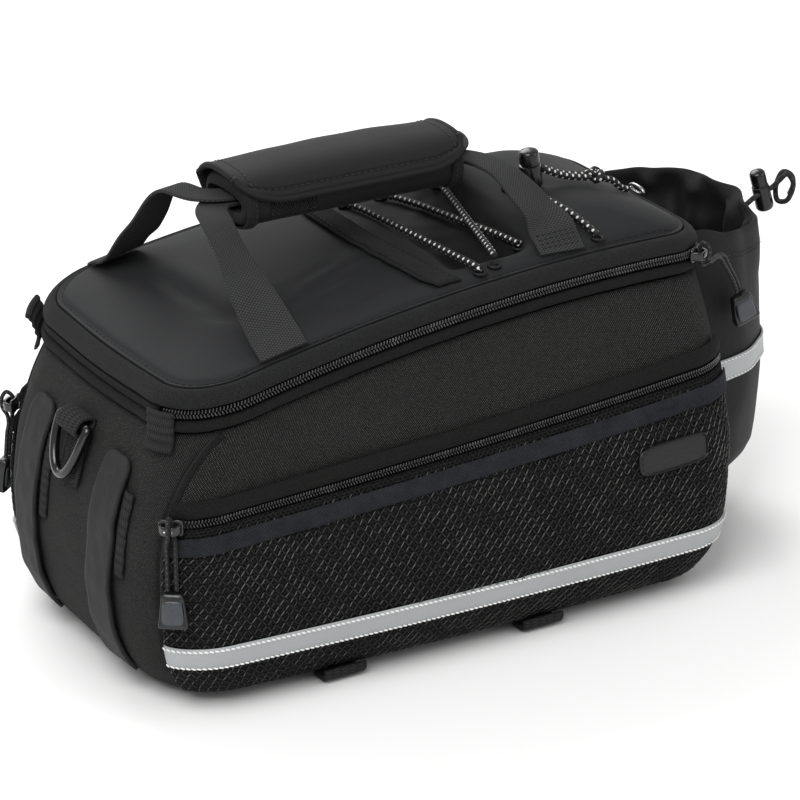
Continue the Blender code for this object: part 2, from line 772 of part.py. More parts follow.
def make_badge():
    """Moulded rubber patch near the rear end of the near pocket."""
    rings = []
    for lift, shrink in ((3 * CLEARANCE, 1.0), (BADGE_THICK, 1.0), (BADGE_THICK * 1.3, 0.9)):
        ring = []
        for k in range(16):
            turn = 2 * math.pi * k / 16
            reach_x = math.copysign(abs(math.cos(turn)) ** 0.5, math.cos(turn)) * shrink
            reach_z = math.copysign(abs(math.sin(turn)) ** 0.5, math.sin(turn)) * shrink
            place = BADGE_PLACE + BADGE_LENGTH / 2 * reach_x / SIDE_RUN
            height = pocket_height(place, BADGE_LEVEL) + BADGE_HEIGHT / 2 * reach_z
            ring.append(pocket_point(place, height, -1, lift))
        rings.append(ring)
    loft("badge", rings, HARD_BLACK, 0.5, flat_ends=False)


# Bottle pouch

def pouch_ring(level, inset=0.0):
    reach_share, width_share, gather = blend_rows(POUCH_PROFILE, level)
    height = POUCH_BOTTOM + (POUCH_TOP - POUCH_BOTTOM) * level
    half = POUCH_HALF_WIDTH * width_share - inset
    wall_x = BODY_LENGTH / 2 + CLEARANCE * 2
    ring = []
    for k in range(POUCH_STEPS + 1):
        turn = -math.pi / 2 + math.pi * k / POUCH_STEPS
        wave = POUCH_GATHER * gather * math.cos(2 * POUCH_GATHERS * turn)
        reach = (POUCH_REACH * reach_share - inset + wave) * math.cos(turn) ** 0.8
        ring.append(Vector((wall_x + max(reach, inset), half * math.sin(turn), height)))
    for k in range(1, 4):
        y = half * (1 - k / 2)
        ring.append(Vector((wall_x + inset, y, height)))
    return ring


def make_pouch():
    levels = [row[0] for row in POUCH_PROFILE]
    outer = [pouch_ring(level) for level in levels]
    inner = [pouch_ring(level, POUCH_CLOTH) for level in reversed(levels[1:])]
    floor = [p.copy() for p in pouch_ring(levels[1], POUCH_CLOTH * 2)]
    for p in floor:
        p.z = POUCH_BOTTOM + POUCH_CLOTH
    loft("bottle_pouch", outer + inner + [floor], TWILL, 0.8, sharp=70)
    outer, inner = [], []
    for height in (POUCH_BAND_HEIGHT - POUCH_BAND_WIDTH / 2, POUCH_BAND_HEIGHT + POUCH_BAND_WIDTH / 2):
        level = (height - POUCH_BOTTOM) / (POUCH_TOP - POUCH_BOTTOM)
        outer.append(pouch_ring(level, -TRIM_LIFT - TRIM_THICK)[1:POUCH_STEPS])
        inner.append(pouch_ring(level, -TRIM_LIFT)[1:POUCH_STEPS])
    panel("pouch_band", outer, inner, SILVER, 0.35)


# Handle and webbing

def handle_section(x, grow, half_width=HANDLE_HALF_WIDTH, half_height=HANDLE_HALF_HEIGHT):
    section = []
    for k in range(HANDLE_SIDES):
        turn = 2 * math.pi * k / HANDLE_SIDES
        y = (half_width + grow) * math.cos(turn)
        section.append(Vector((x, y, HANDLE_HEIGHT + (half_height + grow) * math.sin(turn))))
    return section


def make_handle():
    end_round = HANDLE_END_ROUND
    rows = [handle_section(HANDLE_FRONT_X, -end_round / 2), handle_section(HANDLE_FRONT_X + end_round, 0.0),
            handle_section((HANDLE_FRONT_X + HANDLE_REAR_X) / 2, 0.0),
            handle_section(HANDLE_REAR_X - end_round, 0.0), handle_section(HANDLE_REAR_X, -end_round / 2)]
    slot = (WEB_WIDTH / 2 + WEB_SLOT_ROOM, 2 * WEB_LAYER + 0.4 * WEB_SLOT_ROOM)
    bore = [handle_section(x, 0.0, *slot) for x in (HANDLE_REAR_X, HANDLE_FRONT_X)]
    loop_loft("handle_wrap", rows + bore, SHELL_GREY, 0.8)
    outer, inner = [], []
    start, stop = math.radians(-24), math.radians(196)
    for along in spread(0.0, 1.0, 6):
        x = HANDLE_FRONT_X - FLAP_OVERHANG + (HANDLE_REAR_X - HANDLE_FRONT_X + 2 * FLAP_OVERHANG) * along
        crown = FLAP_CROWN * math.sin(math.pi * along)
        trim = math.radians(26) * (2 * along - 1) ** 6
        outer.append([])
        inner.append([])
        for turn in [start + trim + (stop - start - 2 * trim) * k / 10 for k in range(11)]:
            for grid, grow in ((outer, FLAP_THICK + crown), (inner, CURVED_LIFT + crown)):
                y = (HANDLE_HALF_WIDTH + grow) * math.cos(turn)
                z = HANDLE_HEIGHT + (HANDLE_HALF_HEIGHT + grow) * math.sin(turn)
                grid[-1].append(Vector((x, y, z)))
    panel("handle_flap", outer, inner, SHELL_GREY, 0.75)


def lid_edge_y(x):
    """Half width of the lid inside its border at a place along the bag."""
    front, rear = rim_point(0.0, -GROOVE_IN), rim_point(1.0, -GROOVE_IN)
    along = (x - front.x) / (rear.x - front.x)
    return -(front.y + (rear.y - front.y) * along)


def make_webbing(label, side, tree):
    """One band of webbing from the lid's front edge, through the handle, back to the lid's rear edge."""
    height = HANDLE_HEIGHT + side * WEB_LAYER
    lift = CURVED_LIFT + WEB_THICK / 2

    def edge_points(x):
        edge = lid_edge_y(x) - WEB_EDGE_IN
        return [drop_on(tree, x, side * (edge - back), lift + rise) for back, rise in WEB_LEAVES]

    front_x, rear_x = WEB_ANCHORS[label]
    front = edge_points(front_x)
    rear = edge_points(rear_x)[::-1]
    route = front
    route += [Vector(((front_x + FOLD_FRONT_X) / 2, side * WEB_SLOPE_Y, (front[-1].z + height) / 2)),
              Vector((FOLD_FRONT_X, side * (WEB_TURN + 0.003), height - WEB_FOLD_DROP)),
              Vector((FOLD_FRONT_X + WEB_TURN * 0.3, side * WEB_TURN * 0.3, height)),
              Vector((FOLD_FRONT_X + WEB_TURN, 0.0, height)),
              Vector(((FOLD_FRONT_X + FOLD_REAR_X) / 2, 0.0, height)),
              Vector((FOLD_REAR_X - WEB_TURN, 0.0, height)),
              Vector((FOLD_REAR_X - WEB_TURN * 0.3, side * WEB_TURN * 0.3, height)),
              Vector((FOLD_REAR_X, side * (WEB_TURN + 0.003), height - WEB_FOLD_DROP)),
              Vector(((rear_x + FOLD_REAR_X) / 2, side * WEB_SLOPE_Y, (rear[0].z + height) / 2))]
    route += rear
    centres = smooth_route(route, 0.009)
    widths = []
    for k, centre in enumerate(centres):
        heading = centres[min(k + 1, len(centres) - 1)] - centres[max(k - 1, 0)]
        half = Vector((heading.y, -heading.x, 0.0)).normalized() * (WEB_WIDTH / 2)
        if abs(centre.y) > WEB_LIES_FROM:
            fore = drop_on(tree, *(centre + half).xy)
            aft = drop_on(tree, *(centre - half).xy)
            half.z = (fore.z - aft.z) / 2 * ease(WEB_LIES_FROM, WEB_LIES_FLAT, abs(centre.y))
        widths.append(half)
    strap("webbing_" + label, centres, widths, WEB_THICK)


# Front wall: D-ring, its webbing and the two fastening straps

def front_wall(y, height, out=0.0):
    for_side = wall_at_height(6.0, height).y
    place = 6.0 + (for_side - y) / (2 * for_side)
    point = wall_at_height(place, height, out)
    return Vector((point.x, y, height))


def tube_round(name, path, radius, outward, colour, roughness, sides=6):
    """A closed ring of round bar."""
    rows = []
    for k, centre in enumerate(path):
        heading = (path[(k + 1) % len(path)] - path[k - 1]).normalized()
        across = heading.cross(outward).normalized()
        up = across.cross(heading).normalized()
        rows.append([centre + across * (radius * math.cos(2 * math.pi * j / sides))
                     + up * (radius * math.sin(2 * math.pi * j / sides)) for j in range(sides)])
    return loop_loft(name, rows, colour, roughness)


def make_d_ring():
    bar_half = RING_WIDTH / 2 - RING_WIRE / 2
    reach = RING_HEIGHT - RING_WIRE
    path = [front_wall(bar_half * (1 - k / 2), RING_TOP, RING_OUT) for k in range(5)]
    for k in range(1, 10):
        turn = math.pi * k / 10
        drop = reach * math.sin(turn) ** 0.85
        path.append(front_wall(-bar_half * math.cos(turn), RING_TOP - drop, RING_OUT + 0.0005))
    tube_round("d_ring", path, RING_WIRE / 2, Vector((-1, 0, 0)), HARD_BLACK, 0.4)
    lift = WEB_THICK / 2 + 3 * CLEARANCE
    bend = RING_WIRE / 2 + 3 * CLEARANCE + WEB_THICK / 2
    places = [(lift, up) for up in (-RING_PATCH_LENGTH, -RING_PATCH_LENGTH / 2, -RING_WIRE, bend * 0.6)]
    for k in range(1, 6):
        turn = math.radians(120 - 50 * k)
        places.append((RING_OUT + bend * math.cos(turn), bend * math.sin(turn)))
    centres = [front_wall(0.0, RING_TOP + up, out) for out, up in places]
    widths = [Vector((0, RING_WEB_WIDTH / 2, 0))] * len(centres)
    strap("ring_webbing", centres, widths, WEB_THICK)


def make_front_strap(label, side):
    outer, inner = [], []
    levels = [row[0] * rim_height(-BODY_LENGTH / 2) for row in BODY_PROFILE]
    run = FRONT_STRAP_TOP - FRONT_STRAP_BOTTOM
    rounded = [FRONT_STRAP_TOP - run * share for share in (0.12, 0.06, 0.02, 0.0)]
    kept = [level for level in levels if FRONT_STRAP_BOTTOM < level < rounded[0]]
    for height in sorted([FRONT_STRAP_BOTTOM] + kept + rounded):
        share = (height - FRONT_STRAP_BOTTOM) / run
        narrow = math.sqrt(max(0.0, 1 - max(0.0, (share - 0.88) / 0.12) ** 2)) if share < 1 else 0.25
        outer.append([])
        inner.append([])
        for across in (-1.0, -0.8, 0.8, 1.0):
            y = side * FRONT_STRAP_Y + across * narrow * FRONT_STRAP_WIDTH / 2
            edge = 0.6 if abs(across) == 1 else 1.0
            outer[-1].append(front_wall(y, height, TRIM_LIFT + FRONT_STRAP_THICK * edge))
            inner[-1].append(front_wall(y, height, TRIM_LIFT))
    panel("front_strap_" + label, outer, inner, WEBBING, 0.7)
    outer, inner = [], []
    start = side * FRONT_STRAP_Y - FRONT_STRAP_WIDTH / 2 - 0.0006
    for share in spread(0.0, 1.0, 4):
        height = FRONT_STRAP_TOP - 0.012 - PATCH_LENGTH * share
        across = [start - PATCH_WIDTH * k / 2 for k in range(3)]
        outer.append([front_wall(y, height, TRIM_LIFT + TRIM_THICK) for y in across])
        inner.append([front_wall(y, height, TRIM_LIFT) for y in across])
    panel("strap_patch_" + label, outer, inner, TWILL, 0.95)


def make_bottom_loop(label, x, side):
    """Folded webbing loop sewn into the lower edge of the body."""
    along = (x + BODY_LENGTH / 2 - BODY_CORNER_FRONT) / SIDE_RUN
    edge = -wall_point(along, BODY_PROFILE[1][0]).y
    floor = TRIM_LIFT + LOOP_THICK / 2
    route = [(edge + 0.0008, floor), (edge + 0.0060, floor), (edge + 0.0088, floor + 0.0006),
             (edge + 0.0104, floor + 0.0028), (edge + 0.0102, floor + 0.0050)]
    centres = [Vector((x, side * y, z)) for y, z in route]
    widths = [Vector((LOOP_WIDTH / 2, 0, 0))] * len(centres)
    strap("bottom_loop_" + label, centres, widths, LOOP_THICK, TWILL)


def make_zip_tab(label, middle_place):
    """Stitched webbing tab over an end of the main zip."""
    outer, inner = [], []
    stand = PIPING_RADIUS + TRIM_LIFT
    places = spread(middle_place - TAB_SPREAD, middle_place + TAB_SPREAD, 3)
    low = -COIL_HEIGHT / 2 - 2 * PIPING_RADIUS - TAB_LENGTH
    for rise in spread(low, COIL_HEIGHT / 2, 3):
        outer.append([rim_point(p, stand + WEB_THICK, rise) for p in places])
        inner.append([rim_point(p, stand, rise) for p in places])
    panel("zip_tab_" + label, outer, inner, WEBBING, 0.9)


# Zip sliders with their cords and grips

def local(origin, axes, place):
    return origin + sum((axis * part for axis, part in zip(axes, place)), Vector())


def make_slider(name, origin, axes):
    """Arched slider on the zip; axes are along the zip, outward and down."""
    half, stand, sill = SLIDER_LENGTH / 2, SLIDER_STAND, TRIM_LIFT + SLIDER_THICK / 2
    arch = [(-half, sill), (-half * 0.72, stand * 0.72), (-half * 0.35, stand), (half * 0.35, stand),
            (half * 0.72, stand * 0.72), (half, sill)]
    centres = [local(origin, axes, (along, out, 0.0)) for along, out in arch]
    strap(name, centres, [axes[2] * (SLIDER_WIDTH / 2)] * len(centres), SLIDER_THICK, HARD_BLACK, 0.35)


def make_grip(name, top, axes):
    """Moulded grip: axes are across, outward and down from its top face."""
    rows = []
    for down, half_width, half_thick in GRIP_PROFILE:
        row = []
        for k in range(8):
            turn = 2 * math.pi * (k + 0.5) / 8
            across = math.copysign(abs(math.cos(turn)) ** 0.6, math.cos(turn)) * half_width * GRIP_WIDTH
            out = math.copysign(abs(math.sin(turn)) ** 0.6, math.sin(turn)) * half_thick * GRIP_THICK
            row.append(local(top, axes, (across, out, down * GRIP_LENGTH)))
        rows.append(row)
    loft(name, rows, HARD_BLACK, 0.4)


def make_puller(label, origin, axes, route):
    """Slider, cord through its arch and grip; route is the cord's outer leg as (along, outward, down)."""
    make_slider("slider_" + label, origin, axes)
    inner = SLIDER_STAND / 2
    over = [(-0.0003, SLIDER_STAND + 0.0024, 0.0025), (0.0, SLIDER_STAND + 0.0022, -0.0034),
            (0.0, SLIDER_STAND - 0.0006, -0.0056), (0.0002, inner, -0.0044), (0.0006, inner, 0.0),
            (0.0016, inner + 0.0008, 0.0050)]
    grip_top = route[0]
    inner_leg = [(along + PULL_LEG_GAP, out - 0.0002, down) for along, out, down in reversed(route)]
    chosen = [local(origin, axes, p) for p in route + over + inner_leg]
    cord("pull_cord_" + label, smooth_route(chosen, PULL_CORD_DIAMETER * 2.3), PULL_CORD_DIAMETER)
    top = (grip_top[0] + PULL_LEG_GAP / 2, grip_top[1], grip_top[2] + 2 * CLEARANCE)
    lean = local(Vector(), axes, tuple(a - b for a, b in zip(route[0], route[1]))).normalized()
    across = (axes[0] - lean * axes[0].dot(lean)).normalized()
    outward = lean.cross(across)
    step = lean * abs(axes[0].dot(lean)) * (PULL_LEG_GAP + PULL_CORD_DIAMETER) / 2
    make_grip("grip_" + label, local(origin, axes, top) + step, (across, outward, lean))


def make_pocket_puller(label, side):
    place = POCKET_FIRST + PULL_INSET
    height = pocket_height(place, 1.0) + CLEARANCE + POCKET_COIL_RADIUS
    rest = TRIM_LIFT + 2 * POCKET_COIL_RADIUS
    origin = pocket_point(place, height, side, rest, bulge=False)
    ahead = pocket_point(place + 0.05, pocket_height(place + 0.05, 1.0), side, rest, bulge=False)
    behind = pocket_point(place - 0.05, pocket_height(place - 0.05, 1.0), side, rest, bulge=False)
    along = (ahead - behind).normalized()
    outward = along.cross(Vector((0, 0, 1))).normalized()
    if outward.y * side < 0:
        outward = -outward
    down = along.cross(outward)
    if down.z > 0:
        down = -down
    route = []
    for drop in (PULL_CORD_LENGTH, PULL_CORD_LENGTH * 0.8, PULL_CORD_LENGTH * 0.5, PULL_CORD_LENGTH * 0.25):
        spot = local(origin, (along, outward, down), (-PULL_LEG_GAP / 2, 0.0, drop))
        rest_out = wall_out(spot, origin, outward, side)
        route.append((-PULL_LEG_GAP / 2, max(rest_out, 0.0) + TRIM_THICK + GRIP_THICK / 2, drop))
    make_puller(label, origin, (along, outward, down), route)


def wall_out(spot, origin, outward, side):
    """How far the pocket's cloth stands out from the slider's plane at a spot below it."""
    place = POCKET_FIRST + PULL_INSET
    cloth = pocket_point(place, spot.z, side)
    return (cloth - spot).dot(outward)


def make_main_puller():
    """Slider at the rear near corner of the main zip; its grip lies against the bottle pouch."""
    place = MAIN_PULL_PLACE
    flat = (BODY_CORNER_REAR + COIL_THICK) * (1 - math.cos(math.pi / 4 / CORNER_STEPS))
    origin = rim_point(place, COIL_THICK - flat)
    along = (rim_point(place + 0.1, COIL_THICK) - rim_point(place - 0.1, COIL_THICK)).normalized()
    outward = along.cross(Vector((0, 0, 1))).normalized()
    down = along.cross(outward)
    if down.z > 0:
        down = -down
    corner = Vector((BODY_LENGTH / 2, -BODY_WIDTH / 2, ZIP_HEIGHT_REAR))
    chosen = [corner + Vector(p) for p in MAIN_PULL_ROUTE]
    axes = (along, outward, down)
    route = [tuple((point - origin).dot(axis) for axis in axes) for point in chosen]
    make_puller("main", origin, axes, route)


# Elastic lacing over the lid

def taut_route(tree, start, end, lift):
    """A stretched cord: straight in plan, touching only the high places below it."""
    spots = []
    for share in spread(0.0, 1.0, 24):
        x = start[0] + (end[0] - start[0]) * share
        y = start[1] + (end[1] - start[1]) * share
        spots.append(drop_on(tree, x, y, lift))
    hull = []
    for k, spot in enumerate(spots):
        while len(hull) > 1:
            (i, a), (j, b) = hull[-2], hull[-1]
            if (b.z - a.z) * (k - i) <= (spot.z - a.z) * (j - i):
                hull.pop()
            else:
                break
        hull.append((k, spot))
    return even_points([spot for _, spot in hull], BUNGEE_DIAMETER * 2.5)


def make_barrel(name, foot, axis, length, radius):
    """Moulded cord lock: a round barrel with a softened end."""
    axis = axis.normalized()
    across = axis.orthogonal().normalized()
    side = axis.cross(across)
    turns = [2 * math.pi * k / 10 for k in range(10)]
    spokes = [across * math.cos(turn) + side * math.sin(turn) for turn in turns]
    rows = []
    for share, grow in BARREL_PROFILE:
        rows.append([foot + axis * (length * share) + spoke * (radius * grow) for spoke in spokes])
    return loft(name, rows, HARD_BLACK, 0.4)


def make_lacing(tree):
    radius = BUNGEE_DIAMETER / 2
    lift = radius + TRIM_LIFT
    for label, x0, y0, x1, y1, raised in BUNGEE_RUNS:
        start, end = (x0 * BODY_LENGTH, y0 * BODY_WIDTH), (x1 * BODY_LENGTH, y1 * BODY_WIDTH)
        route = taut_route(tree, start, end, lift + raised * BUNGEE_DIAMETER)
        cord("bungee_" + label, route, BUNGEE_DIAMETER)
    foot = drop_on(tree, *LACE_LOCK, TRIM_LIFT)
    make_barrel("bungee_lock", foot, Vector((-0.12, 0.0, 1.0)), LOCK_LENGTH, LOCK_RADIUS)
    knot = drop_on(tree, *LACE_KNOT, KNOT_RADIUS + 3 * CLEARANCE)
    end = drop_on(tree, *LACE_END, lift)
    anchor = drop_on(tree, LACE_END[0] + SLIDER_WIDTH / 2 + 5 * CLEARANCE, LACE_END[1], TRIM_LIFT)
    make_slider("lace_anchor", anchor, (Vector((0, 1, 0)), Vector((0, 0, 1)), Vector((1, 0, 0))))
    toward = Vector((knot.x - foot.x, knot.y - foot.y, 0.0)).normalized()
    across = Vector((-toward.y, toward.x, 0.0))
    for label, offset in (("tail_near", -0.0017), ("tail_far", 0.0017)):
        leave = Vector((0, 0, LOCK_LENGTH * 0.45))
        start = foot + toward * (LOCK_RADIUS + CLEARANCE) + across * offset + leave
        stop = knot - toward * (KNOT_RADIUS + CLEARANCE) + across * offset
        way = start.lerp(stop, 0.5) - Vector((0, 0, 0.0012))
        cord("bungee_" + label, smooth_route([start, way, stop], BUNGEE_DIAMETER * 2.5), BUNGEE_DIAMETER)
    make_knot(knot)
    leave = (end - knot).normalized()
    start = knot + leave * (KNOT_RADIUS + CLEARANCE)
    route = [start] + [drop_on(tree, *start.lerp(end, share).xy, lift) for share in (0.4, 0.7)] + [end]
    route[1].z = max(route[1].z, start.z * 0.5 + route[1].z * 0.5)
    cord("bungee_end", smooth_route(route, BUNGEE_DIAMETER * 2.5), BUNGEE_DIAMETER)


def make_knot(centre):
    rows = []
    for k in range(1, 6):
        turn = math.pi * k / 6
        rows.append([centre + KNOT_RADIUS * Vector((
            math.cos(turn), math.sin(turn) * math.cos(2 * math.pi * j / 8),
            math.sin(turn) * math.sin(2 * math.pi * j / 8))) for j in range(8)])
    loft("bungee_knot", rows, CORD_BLACK, 0.8)


def make_pouch_cord():
    """Cord lock at the hem of the pouch and the looped end of its drawcord."""
    turn = math.radians(POUCH_LOCK_TURN)
    level = (POUCH_TOP - 0.004 - POUCH_BOTTOM) / (POUCH_TOP - POUCH_BOTTOM)
    hem = max(pouch_ring(level), key=lambda p: p.x * math.cos(turn) + p.y * math.sin(turn))
    out = Vector((math.cos(turn), math.sin(turn), 0.0))
    centre = hem + out * POUCH_LOCK_RADIUS
    axis = Vector((0.0, 0.0, 1.0)) - out * 0.04
    foot = centre - axis.normalized() * (POUCH_LOCK_LENGTH * 0.55)
    make_barrel("pouch_lock", foot, axis, POUCH_LOCK_LENGTH, POUCH_LOCK_RADIUS)
    exit_point = centre + out * (POUCH_LOCK_RADIUS + 3 * CLEARANCE)
    across = Vector((-out.y, out.x, 0.0))
    chosen = [exit_point + out * x + across * y + Vector((0, 0, z)) for x, y, z in POUCH_CORD_LOOPS]
    cord("pouch_cord", smooth_route(chosen, POUCH_CORD_DIAMETER * 2.0), POUCH_CORD_DIAMETER)


def main():
    start_clean()
    make_body()
    make_rim()
    lid = make_lid()
    tree = surface_tree(lid)
    make_seam_tape(tree)
    for label, side in (("near", -1), ("far", 1)):
        make_pocket(label, side)
        make_pocket_puller(label, side)
        make_webbing(label, side, tree)
        make_front_strap(label, side)
        for spot, x in (("front", LOOP_FRONT_X), ("rear", LOOP_REAR_X)):
            make_bottom_loop(spot + "_" + label, x, side)
    make_badge()
    make_pouch()
    make_handle()
    make_d_ring()
    make_zip_tab("near", ZIP_START)
    make_zip_tab("far", ZIP_END)
    make_main_puller()
    make_lacing(tree)
    make_pouch_cord()


main()
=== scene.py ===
import math

import bmesh
import bpy
import numpy as np
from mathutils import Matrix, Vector, noise
from mathutils.bvhtree import BVHTree


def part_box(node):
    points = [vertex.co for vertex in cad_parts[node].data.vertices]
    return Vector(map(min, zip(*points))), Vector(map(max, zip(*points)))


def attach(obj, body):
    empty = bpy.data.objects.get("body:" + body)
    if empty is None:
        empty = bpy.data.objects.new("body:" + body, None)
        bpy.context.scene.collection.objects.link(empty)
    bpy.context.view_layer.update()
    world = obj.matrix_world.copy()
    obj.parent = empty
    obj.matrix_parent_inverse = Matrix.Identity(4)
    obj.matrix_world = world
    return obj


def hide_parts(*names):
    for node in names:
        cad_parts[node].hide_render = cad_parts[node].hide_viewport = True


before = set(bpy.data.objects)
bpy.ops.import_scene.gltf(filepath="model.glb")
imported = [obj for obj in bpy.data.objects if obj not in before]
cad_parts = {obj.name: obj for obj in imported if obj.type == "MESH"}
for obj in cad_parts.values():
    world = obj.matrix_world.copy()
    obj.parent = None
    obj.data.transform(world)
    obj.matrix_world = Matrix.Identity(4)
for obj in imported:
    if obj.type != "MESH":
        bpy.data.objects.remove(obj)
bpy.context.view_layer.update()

room = 0.0003  # gap kept between neighbouring pieces, in metres
bagMiddle = Vector((0.02, 0.0, 0.09))

# camera: turn and height in degrees, the rest in metres and millimetres

view = {"turn": -30.61, "height": 23.34, "distance": 1.7, "target": (0.019, 0.0, 0.083), "lens": 174.52}


def setCamera():
    turn, height = math.radians(view["turn"]), math.radians(view["height"])
    back = Vector((math.sin(turn) * math.cos(height), -math.cos(turn) * math.cos(height), math.sin(height)))
    data = bpy.data.cameras.new("camera")
    data.lens = view["lens"]
    data.sensor_width = 36
    data.clip_end = 20
    eye = bpy.data.objects.new("camera", data)
    eye.location = Vector(view["target"]) + back * view["distance"]
    eye.rotation_euler = back.to_track_quat("Z", "Y").to_euler()
    bpy.context.collection.objects.link(eye)
    bpy.context.scene.camera = eye


setCamera()
print("camera set")

# mesh tools


def mappedMesh(name, points, faces, corners):
    mesh = bpy.data.meshes.new(name)
    mesh.from_pydata(points, [], faces)
    layer = mesh.uv_layers.new(name="cloth")
    layer.data.foreach_set("uv", [value for face in corners for corner in face for value in corner])
    return mesh


def placeMesh(mesh, finish):
    mesh.materials.append(finishes[finish])
    piece = bpy.data.objects.new(mesh.name, mesh)
    bpy.context.collection.objects.link(piece)
    return piece


def addMesh(name, points, faces, corners, finish, sharp=60, middle=None):
    mesh = mappedMesh(name, [tuple(p) for p in points], faces, corners)
    work = bmesh.new()
    work.from_mesh(mesh)
    bmesh.ops.recalc_face_normals(work, faces=work.faces)
    if middle is not None:
        facing = sum((f.calc_center_median() - middle).dot(f.normal) * f.calc_area() for f in work.faces)
        if facing < 0:
            bmesh.ops.reverse_faces(work, faces=work.faces)
    work.to_mesh(mesh)
    work.free()
    mesh.shade_smooth()
    mesh.set_sharp_from_angle(angle=math.radians(sharp))
    return placeMesh(mesh, finish)


def standFor(piece, slot, *nodes):  # rides with the bag and takes the place of its plain pieces
    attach(piece, "root")
    if nodes:
        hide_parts(*nodes)
    return piece


def runLengths(points):
    lengths = [0.0]
    for a, b in zip(points, points[1:]):
        lengths.append(lengths[-1] + (Vector(b) - Vector(a)).length)
    return lengths


def thicken(piece, thick):
    backing = piece.modifiers.new("thickness", "SOLIDIFY")
    backing.thickness = thick
    backing.offset = -1


def gridFaces(rowCount, count, closed):
    steps = [(r * count, (r + 1) * count, c, (c + 1) % count)
             for r in range(rowCount - 1) for c in range(count if closed else count - 1)]
    return [(low + c, low + d, high + d, high + c) for low, high, c, d in steps]


def sheetMesh(name, rows, finish, closed=False, thick=0.0, sharp=60, middle=bagMiddle):
    # a sheet through rows of points; its map runs in metres along and up the cloth
    count = len(rows[0])
    mid = rows[len(rows) // 2]
    along = runLengths(list(mid) + ([mid[0]] if closed else []))
    up = runLengths([row[count // 3] for row in rows])
    faces = gridFaces(len(rows), count, closed)
    corners = [((along[c], up[r]), (along[c + 1], up[r]), (along[c + 1], up[r + 1]), (along[c], up[r + 1]))
               for r in range(len(rows) - 1) for c in range(count if closed else count - 1)]
    piece = addMesh(name, [p for row in rows for p in row], faces, corners, finish, sharp, middle)
    if thick:
        thicken(piece, thick)
    return piece


def loftMesh(name, rows, finish, ring=False, sharp=60, softEnds=False):
    # a solid through closed sections; ring joins the last to the first
    count = len(rows[0])
    hubs = [sum((Vector(p) for p in row), Vector()) / count for row in rows]
    along = runLengths(hubs + ([hubs[0]] if ring else []))
    around = runLengths(list(rows[0]) + [rows[0][0]])
    faces, corners = [], []
    points = [p for row in rows for p in row]
    for r in range(len(rows) if ring else len(rows) - 1):
        nxt = (r + 1) % len(rows)
        for c in range(count):
            d = (c + 1) % count
            faces.append((r * count + c, r * count + d, nxt * count + d, nxt * count + c))
            corners.append(((along[r], around[c]), (along[r], around[c + 1]),
                            (along[r + 1], around[c + 1]), (along[r + 1], around[c])))
    if not ring:
        for start, hub, u, push in ((0, hubs[0], along[0], hubs[0] - hubs[1]),
                                    ((len(rows) - 1) * count, hubs[-1], along[-1], hubs[-1] - hubs[-2])):
            if softEnds:
                hub = hub + push.normalized() * (Vector(points[start]) - hub).length * 0.35
            points.append(hub)
            for c in range(count):
                faces.append((start + c, start + (c + 1) % count, len(points) - 1))
                corners.append(((u, around[c]), (u, around[c + 1]), (u, around[c])))
    return addMesh(name, points, faces, corners, finish, sharp)


def evenRun(points, step=None, count=None):
    points = [Vector(p) for p in points]
    lengths = runLengths(points)
    count = count or max(2, round(lengths[-1] / step))
    result, place = [], 0
    for k in range(count + 1):
        want = lengths[-1] * k / count
        while place < len(lengths) - 2 and lengths[place + 1] < want:
            place += 1
        span = lengths[place + 1] - lengths[place]
        result.append(points[place].lerp(points[place + 1], (want - lengths[place]) / span if span else 0.0))
    return result


def smoothRun(points, step=None, count=None, closed=False):
    chosen = [Vector(p) for p in points]
    if closed:
        chosen = [chosen[-1]] + chosen + chosen[:2]
    else:
        chosen = [chosen[0] * 2 - chosen[1]] + chosen + [chosen[-1] * 2 - chosen[-2]]
    dense = []
    for a, b, c, d in zip(chosen, chosen[1:], chosen[2:], chosen[3:]):
        for k in range(16):
            t = k / 16
            dense.append(0.5 * (2 * b + (c - a) * t + (2 * a - 5 * b + 4 * c - d) * t * t
                                + (3 * b - a - 3 * c + d) * t ** 3))
    dense.append(chosen[-2])
    return evenRun(dense, step, count)


def runFrames(path, closed=False, hint=None):
    # heading and two axes across it at each point, turned as little as possible
    count = len(path)
    across = None
    frames = []
    for k in range(count):
        if closed:
            heading = (path[(k + 1) % count] - path[k - 1]).normalized()
        else:
            heading = (path[min(k + 1, count - 1)] - path[max(k - 1, 0)]).normalized()
        if hint is not None:
            across = heading.cross(hint).normalized()
        elif across is None:
            across = heading.orthogonal().normalized()
        else:
            across = (across - heading * across.dot(heading)).normalized()
        frames.append((heading, across, heading.cross(across)))
    return frames


def tubeMesh(name, path, radius, finish, sides=12, closed=False, hint=None, softEnds=True):
    path = [Vector(p) for p in path]
    rows = []
    for k, (centre, axes) in enumerate(zip(path, runFrames(path, closed, hint))):
        size = radius[k] if isinstance(radius, (list, tuple)) else radius
        rows.append([centre + axes[1] * (size * math.cos(turn)) + axes[2] * (size * math.sin(turn))
                     for turn in circleSteps(sides)])
    return loftMesh(name, rows, finish, ring=closed, softEnds=softEnds)


def bandMesh(name, centres, halves, thick, finish):
    # flat webbing with softly rounded edges; halves are half-width vectors
    rows = []
    shares = [(-1.0, 0.0), (-0.985, 0.75), (-0.93, 1.0), (-0.5, 1.0), (0.0, 1.0), (0.5, 1.0), (0.93, 1.0),
              (0.985, 0.75), (1.0, 0.0)]
    for k, (centre, half) in enumerate(zip(centres, halves)):
        heading = centres[min(k + 1, len(centres) - 1)] - centres[max(k - 1, 0)]
        normal = heading.cross(half).normalized()
        top = [centre + half * s + normal * (thick / 2 * h) for s, h in shares]
        low = [centre + half * s - normal * (thick / 2 * h) for s, h in reversed(shares[1:-1])]
        rows.append(top + low)
    return loftMesh(name, rows, finish, sharp=70)


